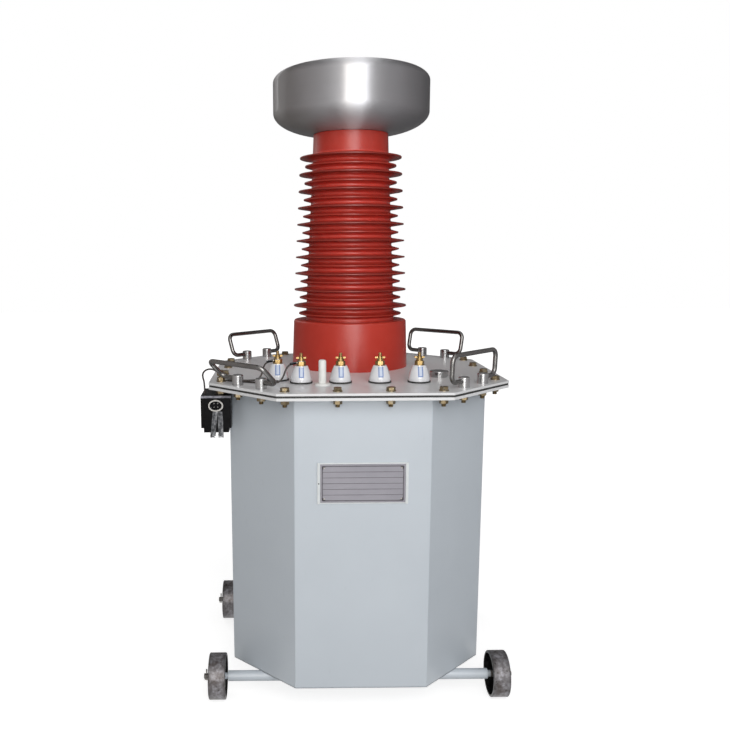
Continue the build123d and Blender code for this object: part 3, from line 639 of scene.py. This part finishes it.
def porcelain():
    # White glaze with a few dark specks.
    material, shader = new_material("white_porcelain")
    tone = clouds(material, 40.0, 5.0, (0.67, 0.675, 0.70), (0.74, 0.745, 0.77))
    specks = spread(material, noise(material, 320.0, 2.0), 0.0, 0.5, 0.72, 0.78)
    tone = blend(material, specks, tone, (0.35, 0.33, 0.31))
    gloss = spread(material, noise(material, 60.0), 0.12, 0.22)
    dress(material, shader, tone, gloss, Coat_Weight=0.6, Coat_Roughness=0.08)
    bump(material, shader, noise(material, 180.0, 2.0), 0.06, BUMP_DEPTHS["glaze"])
    return material


def moulded(name, dark, light, roughness, grain_scale):
    material, shader = new_material(name)
    tone = clouds(material, 50.0, 6.0, dark, light, (0.3, 0.75))
    gloss = spread(material, noise(material, 90.0), roughness - 0.07, roughness + 0.1)
    dress(material, shader, tone, gloss)
    bump(material, shader, noise(material, grain_scale, 3.0), 0.22, BUMP_DEPTHS["moulded"])
    return material


def box_enamel():
    # Black enamel, with a painted highlight: a pale grey tone along the sloping front edge.
    material, shader = new_material("box_black")
    tone = clouds(material, 50.0, 6.0, (0.003, 0.003, 0.0035), (0.006, 0.006, 0.007), (0.3, 0.75))
    # Painted highlight: pale grey on the sloping face along the front edge, broken up by noise.
    highlight_slope = product(material, facing_up(material, 0.52, 0.64), facing_up(material, 0.82, 0.74))
    pale_share = product(material, highlight_slope, spread(material, noise(material, 120.0, 6.0), 0.35, 1.0))
    tone = blend(material, pale_share, tone, (0.40, 0.40, 0.45))
    gloss = spread(material, noise(material, 90.0), 0.24, 0.40)
    dress(material, shader, tone, gloss, Specular_IOR_Level=0.06)
    bump(material, shader, noise(material, 700.0, 3.0), 0.15, BUMP_DEPTHS["enamel"])
    return material


def braid_metal():
    # Tinned strands gone dull, dark between the bright crossings.
    material, shader = new_material("braid_grey")
    patches = noise(material, 190.0, 4.0, (1, 1, 0.6))
    stops = [(0.36, (0.055, 0.057, 0.061)), (0.5, (0.125, 0.128, 0.136)), (0.66, (0.27, 0.275, 0.285))]
    gloss = spread(material, patches, 0.5, 0.38)
    dress(material, shader, ramp(material, patches, stops), gloss, Metallic=0.8)
    bump(material, shader, noise(material, 900.0, 3.0), 0.2, BUMP_DEPTHS["braid"])
    return material


def make_materials():
    materials = {
        "axle_paint": axle_paint(),
        "black_rubber": rubber(),
        "wheel_iron": cast_iron(),
        "bushing_red": bushing_resin(),
        "spun_metal": spun_metal(),
        "white_porcelain": porcelain(),
        "box_black": box_enamel(),
        "yellow_zinc": yellow_zinc(),
        "braid_grey": braid_metal(),
    }
    for maker, rows in ((paint, PAINTS), (brushed, BRUSHED_METALS), (moulded, MOULDINGS)):
        for name, values in rows.items():
            materials[name] = maker(name, *values)
    return materials


# Mesh helpers.


def new_object(name, data):
    item = bpy.data.objects.new(name, data)
    bpy.context.scene.collection.objects.link(item)
    return item


def add_piece(name, bm, materials, finish, sharp_deg=SHARP_DEG):
    # The piece takes the finish's material and rides on the main body.
    bmesh.ops.recalc_face_normals(bm, faces=bm.faces)
    mesh = bpy.data.meshes.new(name)
    bm.to_mesh(mesh)
    bm.free()
    mesh.polygons.foreach_set("use_smooth", [True] * len(mesh.polygons))
    mesh.set_sharp_from_angle(angle=math.radians(sharp_deg))
    mesh.materials.append(materials[finish])
    piece = new_object(name, mesh)
    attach(piece, MAIN_BODY)
    return piece


def ring(bm, place, radius, height, sides, turn=0.0):
    corners = []
    for index in range(sides):
        angle = turn + 2 * math.pi * index / sides
        corner = Vector((radius * math.cos(angle), radius * math.sin(angle), height))
        corners.append(bm.verts.new(place @ corner))
    return corners


def bridge(bm, first, second):
    for index in range(len(first)):
        after = (index + 1) % len(first)
        bm.faces.new((first[index], first[after], second[after], second[index]))


def loft(bm, rings):
    # Closed skin over a row of rings, with flat ends.
    for first, second in zip(rings, rings[1:]):
        bridge(bm, first, second)
    bm.faces.new(list(reversed(rings[0])))
    bm.faces.new(rings[-1])


def lathe(bm, place, profile, sides=ROUND_SIDES, turn=0.0):
    # Turned form from (radius, height) pairs.
    loft(bm, [ring(bm, place, radius, height, sides, turn) for radius, height in profile])


def hexagon(bm, place, flats, low, high, turn):
    radius = flats / math.sqrt(3)
    inner = radius - HEX_CHAMFER
    step = HEX_CHAMFER / 2
    profile = [(inner, low), (radius, low + step), (radius, high - step), (inner, high)]
    lathe(bm, place, profile, 6, turn)


def threaded_rod(bm, place, radius, pitch, depth, low, high):
    turns = max(2, round((high - low) / pitch))
    profile = [(radius - depth, low)]
    for index in range(turns):
        start = low + (high - low) * index / turns
        profile.append((radius, start + pitch / 2))
        profile.append((radius - depth, start + pitch))
    lathe(bm, place, profile, THREAD_SIDES)


def tube(bm, points, radius, sides):
    rings = []
    for index, point in enumerate(points):
        before = points[max(index - 1, 0)]
        after = points[min(index + 1, len(points) - 1)]
        rings.append(ring(bm, pointed(point, after - before), radius, 0.0, sides))
    loft(bm, rings)


def block(bm, low, high):
    scale = Matrix.Diagonal((*(high - low), 1.0))
    bmesh.ops.create_cube(bm, size=1.0, matrix=Matrix.Translation((low + high) / 2) @ scale)


# Fasteners.


def bolt_places():
    # The earth stud takes the place of one bolt.
    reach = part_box("cover_plate")[1][0] - BOLT_EDGE_SETBACK
    earth = node_centre("earth_stud")
    places = []
    for turn in quarter_turns():
        for station in BOLT_STATIONS:
            place = turn @ Vector((station, -reach, 0.0))
            if (place - Vector((earth.x, earth.y, 0.0))).length > BOLT_SKIP_DISTANCE:
                places.append(place)
    return places


def post_places():
    corner = node_centre("handle_posts_front_right")
    distance = math.hypot(corner.x, corner.y)
    places = []
    for turn in quarter_turns(math.pi / 4):
        for side in (-1, 1):
            places.append(turn @ Vector((side * POST_HALF_SPACING, -distance, 0.0)))
    return places


def cover_bolts(materials, chance):
    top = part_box("cover_plate")[1][2]
    seat = top + BOLT_WASHER_THICKNESS
    bm = bmesh.new()
    for place in bolt_places():
        spot = Matrix.Translation(place)
        lathe(bm, spot, [(BOLT_WASHER_RADIUS, top), (BOLT_WASHER_RADIUS, seat)])
        hexagon(bm, spot, BOLT_FLATS, seat, seat + BOLT_HEAD_HEIGHT, chance.uniform(0, math.pi))
    add_piece("cover_bolts", bm, materials, "yellow_zinc")


def flange_nuts(materials, chance):
    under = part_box("tank_flange")[0][2]
    seat = under - BOLT_WASHER_THICKNESS
    bm = bmesh.new()
    for place in bolt_places() + post_places():
        spot = Matrix.Translation(place)
        lathe(bm, spot, [(BOLT_WASHER_RADIUS, seat), (BOLT_WASHER_RADIUS, under)])
        hexagon(bm, spot, BOLT_FLATS, seat - NUT_HEIGHT, seat, chance.uniform(0, math.pi))
        end = seat - NUT_HEIGHT - THREAD_STANDOUT
        threaded_rod(bm, spot, BOLT_RADIUS, THREAD_PITCH, THREAD_DEPTH, end, seat - NUT_HEIGHT)
    spot = under_node("earth_stud")
    lathe(bm, spot, [(HANGER_WASHER_RADIUS, seat), (HANGER_WASHER_RADIUS, under)])
    hexagon(bm, spot, HANGER_NUT_FLATS, seat - NUT_HEIGHT, seat, chance.uniform(0, math.pi))
    add_piece("flange_nuts", bm, materials, "yellow_zinc")


def stud_threads(materials):
    bm = bmesh.new()
    tips = {f"terminal_stud_{number}": (STUD_RADIUS, STUD_TIP_LENGTH) for number in TERMINAL_NUMBERS}
    tips["output_stud"] = (OUTPUT_STUD_RADIUS, OUTPUT_TIP_LENGTH)
    for name, (radius, length) in tips.items():
        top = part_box(name)[1][2] - STUD_THREAD_LIFT
        radius += STUD_THREAD_LIFT
        threaded_rod(bm, under_node(name), radius, STUD_THREAD_PITCH, STUD_THREAD_DEPTH, top - length, top)
    add_piece("stud_threads", bm, materials, "terminal_brass")


def earth_fittings(materials):
    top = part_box("earth_stud")[1][2] - STUD_THREAD_LIFT
    spot = under_node("earth_stud")
    radius = EARTH_THREAD_RADIUS + STUD_THREAD_LIFT
    low = top - EARTH_TIP_LENGTH
    bm = bmesh.new()
    threaded_rod(bm, spot, radius, THREAD_PITCH, THREAD_DEPTH, low, top)
    nut_low = low + EARTH_UPPER_NUT_GAP
    hexagon(bm, spot, BOLT_FLATS, nut_low, nut_low + BOLT_HEAD_HEIGHT, EARTH_NUT_TURN_RAD)
    add_piece("earth_fittings", bm, materials, "yellow_zinc")


# Welds, nameplate, labels and socket.


def octagon(half_width, edge_half):
    corners = []
    for turn in quarter_turns():
        corners.append(turn @ Vector((-edge_half, -half_width, 0.0)))
        corners.append(turn @ Vector((edge_half, -half_width, 0.0)))
    return corners


def flange_weld(materials, chance):
    # Rippled bead along each edge of the tank.
    half_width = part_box("tank_wall")[1][0]
    under = Vector((0.0, 0.0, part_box("tank_flange")[0][2]))
    corners = octagon(half_width, half_width - TANK_CHAMFER)
    bm = bmesh.new()
    for start, end in zip(corners, corners[1:] + corners[:1]):
        count = int((end - start).length / WELD_STEP)
        rings = []
        for step in range(count + 1):
            place = pointed(start.lerp(end, step / count) + under, end - start)
            ripple = WELD_RIPPLE * math.cos(step * math.pi)
            radius = WELD_RADIUS + ripple + chance.uniform(-WELD_RIPPLE, WELD_RIPPLE) / 2
            rings.append(ring(bm, place, radius, 0.0, WELD_SIDES))
        loft(bm, rings)
    add_piece("flange_weld", bm, materials, "tank_paint", sharp_deg=WELD_SHARP_DEG)


def print_strip(bm, left, right, low, high, front):
    block(bm, Vector((left, front - PRINT_LIFT, low)), Vector((right, front + PRINT_LIFT, high)))


def corner_mark(bm, corner, toward_x, toward_z, front):
    # Small filled triangle that cuts off a corner of the printed border.
    along = Vector((toward_x * PRINT_CORNER, 0.0, 0.0))
    upwards = Vector((0.0, 0.0, toward_z * PRINT_CORNER))
    points = [corner, corner + along, corner + upwards]
    near = [bm.verts.new((point.x, front - PRINT_LIFT, point.z)) for point in points]
    far = [bm.verts.new((point.x, front + PRINT_LIFT, point.z)) for point in points]
    bm.faces.new(near)
    bm.faces.new(list(reversed(far)))
    bridge(bm, near, far)


def nameplate_print(materials):
    # Ruled rows inside a border with filled corners. The rows are left blank.
    low, high = node_corners("nameplate")
    left, right = low.x + PRINT_BORDER_INSET, high.x - PRINT_BORDER_INSET
    bottom, top = low.z + PRINT_BORDER_INSET, high.z - PRINT_BORDER_INSET
    bm = bmesh.new()
    for row in range(PRINT_ROWS + 1):
        height = bottom + (top - bottom) * row / PRINT_ROWS
        width = PRINT_LINE_WIDTH if 0 < row < PRINT_ROWS else PRINT_BORDER_WIDTH
        print_strip(bm, left, right, height - width / 2, height + width / 2, low.y)
    for side in (left, right):
        print_strip(bm, side - PRINT_BORDER_WIDTH / 2, side + PRINT_BORDER_WIDTH / 2, bottom, top, low.y)
    for x, toward_x in ((left, 1), (right, -1)):
        for z, toward_z in ((bottom, 1), (top, -1)):
            corner_mark(bm, Vector((x, low.y, z)), toward_x, toward_z, low.y)
    add_piece("nameplate_print", bm, materials, "print_ink")


def nameplate_rivets(materials):
    low, high = node_corners("nameplate")
    dome = [(RIVET_RADIUS * out, RIVET_RADIUS * up) for out, up in RIVET_DOME_SHARES]
    bm = bmesh.new()
    for x in (low.x + RIVET_INSET, high.x - RIVET_INSET):
        for z in (low.z + RIVET_INSET, high.z - RIVET_INSET):
            lathe(bm, Matrix.Translation((x, low.y, z)) @ FACE_ON, dome, SMALL_SIDES)
    add_piece("nameplate_rivets", bm, materials, "plain_steel")


def holder_screw(materials):
    # Small dark screw in the left end of the nameplate's holder.
    plate_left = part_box("nameplate")[0][0]
    low, high = node_corners("nameplate_holder")
    place = Vector(((low.x + plate_left) / 2, low.y, (low.z + high.z) / 2))
    profile = [(HOLDER_SCREW_RADIUS, -HOLDER_SCREW_LIFT), (HOLDER_SCREW_RADIUS, HOLDER_SCREW_LIFT)]
    bm = bmesh.new()
    lathe(bm, Matrix.Translation(place) @ FACE_ON, profile, SMALL_SIDES)
    add_piece("holder_screw", bm, materials, "box_black")


def cone_radius(height):
    # Taper with a slight bulge above the skirt.
    up = max(0.0, height - CONE_SKIRT_HEIGHT) / (CONE_HEIGHT - CONE_SKIRT_HEIGHT)
    return CONE_BASE_RADIUS + (CONE_TOP_RADIUS - CONE_BASE_RADIUS) * up + 4 * CONE_BULGE * up * (1 - up)


def cone_strip(bm, centre, base, widths, heights):
    # Patch on a cone's front between two signed half widths and two heights.
    rows = []
    for step in range(LABEL_STEPS + 1):
        height = heights[0] + (heights[1] - heights[0]) * step / LABEL_STEPS
        radius = cone_radius(height) + LABEL_LIFT
        row = []
        for column in range(LABEL_STEPS + 1):
            width = widths[0] + (widths[1] - widths[0]) * column / LABEL_STEPS
            angle = -math.pi / 2 + width / radius
            spot = Vector((radius * math.cos(angle), radius * math.sin(angle), height))
            row.append(bm.verts.new(Vector((centre.x, centre.y, base)) + spot))
        rows.append(row)
    for first, second in zip(rows, rows[1:]):
        for column in range(LABEL_STEPS):
            bm.faces.new((first[column], first[column + 1], second[column + 1], second[column]))


def cone_labels(materials):
    # Blank pale strip with a blue edge down both sides and along the foot.
    strips = bmesh.new()
    edges = bmesh.new()
    inner = LABEL_HALF_WIDTH - LABEL_EDGE_WIDTH
    foot = LABEL_LOW + LABEL_EDGE_WIDTH
    for number in TERMINAL_NUMBERS:
        name = f"terminal_insulator_{number}"
        centre = node_centre(name)
        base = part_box(name)[0][2]
        cone_strip(strips, centre, base, (-inner, inner), (foot, LABEL_HIGH))
        cone_strip(edges, centre, base, (-inner, inner), (LABEL_LOW, foot))
        for side in (-1, 1):
            widths = (side * inner, side * LABEL_HALF_WIDTH)
            cone_strip(edges, centre, base, widths, (LABEL_LOW, LABEL_HIGH))
    add_piece("cone_label_strips", strips, materials, "label_white")
    add_piece("cone_label_edges", edges, materials, "label_blue")


def socket_place():
    # Middle of the face that the socket's pins stand on.
    centre = node_centre("socket_ring")
    return Vector((centre.x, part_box("socket_box")[0][1] + INSERT_DEPTH, centre.z))


def socket_insert(materials):
    # Oval insert, set back inside the ring.
    edge = INSERT_HALF_WIDTH
    squash = Matrix.Diagonal((1.0, INSERT_HALF_HEIGHT / edge, 1.0, 1.0))
    face = (edge * INSERT_FACE_SHARE, 0.0)
    profile = [(edge, -INSERT_THICKNESS), (edge, -INSERT_ROUND), face]
    bm = bmesh.new()
    lathe(bm, Matrix.Translation(socket_place()) @ FACE_ON @ squash, profile, SOCKET_SIDES)
    add_piece("socket_insert", bm, materials, "box_black")


def socket_pins(materials):
    shank = (PIN_RADIUS, PIN_LENGTH * PIN_SHANK_SHARE)
    tip = (PIN_RADIUS * PIN_TIP_SHARE, PIN_LENGTH)
    bm = bmesh.new()
    for turn in quarter_turns(math.pi / 4):
        offset = turn @ Vector((PIN_SPREAD, 0.0, 0.0))
        place = socket_place() + Vector((offset.x, 0.0, offset.y))
        lathe(bm, Matrix.Translation(place) @ FACE_ON, [(PIN_RADIUS, 0.0), shank, tip], PIN_SIDES)
    add_piece("socket_pins", bm, materials, "ring_steel")


# Leads and braid.


def route_curve(name, route):
    curve = bpy.data.curves.new(name, "CURVE")
    curve.dimensions = "3D"
    curve.resolution_u = CURVE_STEPS
    spline = curve.splines.new("NURBS")
    spline.points.add(len(route) - 1)
    for point, place in zip(spline.points, route):
        point.co = (*place, 1.0)
    spline.order_u = 3
    spline.use_endpoint_u = True
    return new_object(name, curve)


def route_points(name, route):
    guide = route_curve(name, route)
    mesh = bpy.data.meshes.new_from_object(guide)
    points = [vertex.co.copy() for vertex in mesh.vertices]
    bpy.data.objects.remove(guide)
    bpy.data.meshes.remove(mesh)
    return points


def lead_lug(name, terminal, start, after, materials):
    # Ring on the stud, and its tongue down to the lead.
    low = start.z + LUG_RISE
    ring_share, lead_share = LUG_TONGUE_SHARES
    bm = bmesh.new()
    lathe(bm, under_node(terminal), [(LUG_RING_RADIUS, low), (LUG_RING_RADIUS, low + LUG_THICKNESS)])
    root = under_node(terminal) @ Vector((0.0, 0.0, low + LUG_THICKNESS / 2))
    root += (start - root).normalized() * LUG_RING_RADIUS * ring_share
    points = [root, start, start.lerp(after, lead_share)]
    tube(bm, points, LEAD_DIAMETER * LUG_TONGUE_RADIUS_SHARE, TONGUE_SIDES)
    return add_piece(f"{name}_lug", bm, materials, "plain_steel")


def lead_sleeve(name, start, after, materials):
    # Black sleeve over the joint of the lug and the lead.
    first_share, last_share = SLEEVE_END_SHARES
    profile = [
        (SLEEVE_RADIUS * first_share, 0.0),
        (SLEEVE_RADIUS, SLEEVE_ROUND),
        (SLEEVE_RADIUS, SLEEVE_LENGTH - SLEEVE_ROUND),
        (SLEEVE_RADIUS * last_share, SLEEVE_LENGTH),
    ]
    bm = bmesh.new()
    lathe(bm, pointed(start, after - start), profile, SMALL_SIDES)
    return add_piece(f"{name}_sleeve", bm, materials, "box_black")


def leads(materials):
    for number, (name, route) in enumerate(LEAD_ROUTES.items(), start=1):
        piece = route_curve(f"{name}_wire", route)
        piece.data.bevel_depth = LEAD_DIAMETER / 2
        piece.data.bevel_resolution = LEAD_BEVEL_STEPS
        piece.data.materials.append(materials["lead_black"])
        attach(piece, MAIN_BODY)
        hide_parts(name)
        start, after = (Vector(place) for place in route[:2])
        lug = lead_lug(name, f"terminal_stud_{number}", start, after, materials)
        sleeve = lead_sleeve(name, start, after, materials)


def braid_route(name):
    # Middle line of a tail, which slants outwards as it hangs.
    low, high = node_corners(name)
    left, right = low.x + BRAID_WIDTH / 2, high.x - BRAID_WIDTH / 2
    start, end = (left, right) if name.endswith("right") else (right, left)
    middle = (low.y + high.y) / 2
    top = Vector((start, middle, high.z))
    bottom = Vector((end, middle, low.z))
    return [top.lerp(bottom, share) for share in BRAID_ROUTE_SHARES]


def strand_line(points, phase, chance):
    # One strand that weaves from edge to edge, works loose near the end and stops a little early or late.
    half = BRAID_BODY_SHARE * BRAID_WIDTH / 2 - BRAID_STRAND_RADIUS
    length = (points[-1] - points[0]).length
    sideways_fray = chance.uniform(-1, 1)
    depth_fray = chance.uniform(-BRAID_FRAY_DEPTH_SHARE, BRAID_FRAY_DEPTH_SHARE)
    fray = Vector((sideways_fray, depth_fray, 0.0)) * BRAID_FRAY_REACH
    end = length * chance.uniform(*BRAID_END_SHARES) + BRAID_STRAND_RADIUS
    line = []
    for point in points:
        gone = (point - points[0]).length
        if gone > end:
            break
        angle = phase + math.pi * gone / BRAID_WEAVE_LENGTH
        loose = max(0.0, gone / length - (1 - BRAID_FRAY_SHARE)) / BRAID_FRAY_SHARE
        weave = Vector((half * math.sin(angle), BRAID_WEAVE_DEPTH * math.cos(2 * angle), 0.0))
        line.append(point + weave + fray * loose)
    return line


def braid(name, materials, chance):
    points = route_points(f"{name}_guide", braid_route(name))
    bm = bmesh.new()
    for strand in range(BRAID_STRANDS):
        phase = 2 * math.pi * strand / BRAID_STRANDS
        tube(bm, strand_line(points, phase, chance), BRAID_STRAND_RADIUS, STRAND_SIDES)
    piece = add_piece(f"{name}_strands", bm, materials, "braid_grey")
    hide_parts(name)


# CAD nodes, studio and camera.


def dress_nodes(frame, materials):
    slots = {part["node"]: part["material_slot"] for part in frame["record"]["subparts"]}
    slots.update(NODE_FINISHES)
    for name, node in frame["nodes"].items():
        node.data.materials.clear()
        node.data.materials.append(materials[slots[name]])


def soften_edges(frame):
    for name, width in SOFT_EDGES.items():
        node = frame["nodes"][name]
        weld = node.modifiers.new("join", "WELD")
        weld.merge_threshold = JOIN_DISTANCE
        edges = node.modifiers.new("edges", "BEVEL")
        edges.width = width
        edges.segments = SOFT_EDGE_STEPS
        edges.limit_method = "ANGLE"
        edges.angle_limit = math.radians(SOFT_EDGE_ANGLE_DEG)
        edges.harden_normals = True


def stage_plane(name, corners, material):
    mesh = bpy.data.meshes.new(name)
    mesh.from_pydata(corners, [], [(0, 1, 2, 3)])
    mesh.materials.append(material)
    plane = new_object(name, mesh)
    return plane


def seen_rays(owner):
    # One for rays from the eye, straight or by way of metal or glass, and nought for the rest.
    rays = add_node(owner, "ShaderNodeLightPath").outputs
    shown = rays["Is Camera Ray"]
    for kind in ("Is Glossy Ray", "Is Transmission Ray"):
        shown = combine(owner, "MAXIMUM", shown, rays[kind])
    return shown


def floor():
    # Pale floor that takes the shadow and turns white away from the object.
    material, shader = new_material("studio_floor")
    link(material, clouds(material, 1.5, 3.0, *FLOOR_TONES), shader.inputs["Base Color"])
    fix(shader, Roughness=0.9, Specular_IOR_Level=0.1)
    distance = measure(material, "LENGTH", coordinates(material))["Value"]
    glow = spread(material, distance, *FLOOR_GLOW, *FLOOR_GLOW_REACH)
    white = add_node(material, "ShaderNodeEmission")
    link(material, product(material, glow, seen_rays(material)), white.inputs["Strength"])
    both = add_node(material, "ShaderNodeAddShader")
    link(material, shader.outputs["BSDF"], both.inputs[0])
    link(material, white.outputs["Emission"], both.inputs[1])
    link(material, both.outputs["Shader"], material.node_tree.nodes["Material Output"].inputs["Surface"])
    reach = FLOOR_HALF_SIZE
    corners = [(-reach, -reach, 0.0), (reach, -reach, 0.0), (reach, reach, 0.0), (-reach, reach, 0.0)]
    stage_plane("floor", corners, material)


def reflection_card(name, corners, material):
    card = stage_plane(name, corners, material)
    card.visible_camera = False
    card.visible_diffuse = False
    card.visible_shadow = False


def card_material(name, stops):
    # Card that is palest at the end towards the eye, in tones from front to back.
    material, shader = new_material(name)
    share = spread(material, axes_of(material, coordinates(material))["Y"], 0.0, 1.0, *CARD_FADE)
    link(material, ramp(material, share, stops), shader.inputs["Base Color"])
    fix(shader, Roughness=0.95)
    return material


def flags():
    # Grey cards beside, behind and above, seen only in reflections, give the metal its darker flanks.
    warm = card_material("studio_card_warm", WARM_CARD_STOPS)
    cool = card_material("studio_card", COOL_CARD_STOPS)
    near, far = CARD_ENDS
    edge, high = CARD_TOP
    foot, low = CARD_FOOT
    for name, side, material in (("card_left", -1, warm), ("card_right", 1, cool)):
        base, top = side * foot, side * edge
        corners = [(base, near, low), (base, far, low), (top, far, high), (top, near, high)]
        reflection_card(name, corners, material)
    corners = [(-edge, far, low), (edge, far, low), (edge, far, high), (-edge, far, high)]
    reflection_card("card_back", corners, cool)
    near = CEILING_NEAR
    for side, slot_edge in zip(("left", "right"), CEILING_SLOT):
        left, right = sorted((slot_edge, -edge if side == "left" else edge))
        corners = [(left, near, high), (right, near, high), (right, far, high), (left, far, high)]
        reflection_card(f"card_overhead_{side}", corners, cool)


def lamps():
    for name, (place, size, power, colour) in LAMPS.items():
        data = bpy.data.lights.new(name, "AREA")
        data.shape = "RECTANGLE"
        data.size, data.size_y = size
        data.energy = power
        data.color = colour
        lamp = new_object(name, data)
        lamp.location = place
        lamp.rotation_euler = (AIM - Vector(place)).to_track_quat("-Z", "Y").to_euler()


def backdrop():
    # White to the eye and in reflections, and a weaker light from all sides on the object.
    world = bpy.data.worlds.new("studio")
    bpy.context.scene.world = world
    world.use_nodes = True
    nodes = world.node_tree.nodes
    soft = nodes["Background"]
    fix(soft, Color=WHITE, Strength=WORLD_LIGHT)
    white = add_node(world, "ShaderNodeBackground", Color=WHITE)
    mixed = add_node(world, "ShaderNodeMixShader")
    link(world, seen_rays(world), mixed.inputs["Fac"])
    link(world, soft.outputs["Background"], mixed.inputs[1])
    link(world, white.outputs["Background"], mixed.inputs[2])
    link(world, mixed.outputs["Shader"], nodes["World Output"].inputs["Surface"])


def camera():
    turns = (CAMERA_YAW_DEG, CAMERA_PITCH_DEG, CAMERA_ROLL_DEG)
    yaw, pitch, roll = (math.radians(turn) for turn in turns)
    forward = Vector((math.sin(yaw) * math.cos(pitch), math.cos(yaw) * math.cos(pitch), -math.sin(pitch)))
    level = Vector((math.cos(yaw), -math.sin(yaw), 0.0))
    upright = level.cross(forward)
    right = level * math.cos(roll) + upright * math.sin(roll)
    up = upright * math.cos(roll) - level * math.sin(roll)
    data = bpy.data.cameras.new("camera")
    data.sensor_width = SENSOR_WIDTH_MM
    data.lens = CAMERA_FOCAL_PIXELS * SENSOR_WIDTH_MM / FRAME_PIXELS
    data.shift_x = (FRAME_PIXELS / 2 - CAMERA_CENTRE_PIXELS[0]) / FRAME_PIXELS
    data.shift_y = (CAMERA_CENTRE_PIXELS[1] - FRAME_PIXELS / 2) / FRAME_PIXELS
    eye = new_object("camera", data)
    turn = Matrix((right, up, -forward)).transposed().to_4x4()
    eye.matrix_world = Matrix.Translation(CAMERA_PLACE) @ turn
    bpy.context.scene.camera = eye


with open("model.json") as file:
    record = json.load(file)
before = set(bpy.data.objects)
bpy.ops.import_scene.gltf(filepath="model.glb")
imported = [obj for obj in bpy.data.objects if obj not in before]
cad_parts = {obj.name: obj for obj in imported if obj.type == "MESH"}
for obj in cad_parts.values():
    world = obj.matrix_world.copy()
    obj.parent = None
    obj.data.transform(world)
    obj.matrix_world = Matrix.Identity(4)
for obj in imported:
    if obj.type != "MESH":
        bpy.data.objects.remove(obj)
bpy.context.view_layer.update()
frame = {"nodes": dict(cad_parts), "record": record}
bpy.context.scene.view_settings.view_transform = "Standard"
chance = random.Random(SEED)
materials = make_materials()
dress_nodes(frame, materials)
soften_edges(frame)
cover_bolts(materials, chance)
flange_nuts(materials, chance)
stud_threads(materials)
earth_fittings(materials)
flange_weld(materials, chance)
nameplate_print(materials)
nameplate_rivets(materials)
holder_screw(materials)
cone_labels(materials)
socket_insert(materials)
socket_pins(materials)
leads(materials)
for braid_name in ("braid_left", "braid_right"):
    braid(braid_name, materials, chance)
floor()
flags()
lamps()
backdrop()
camera()
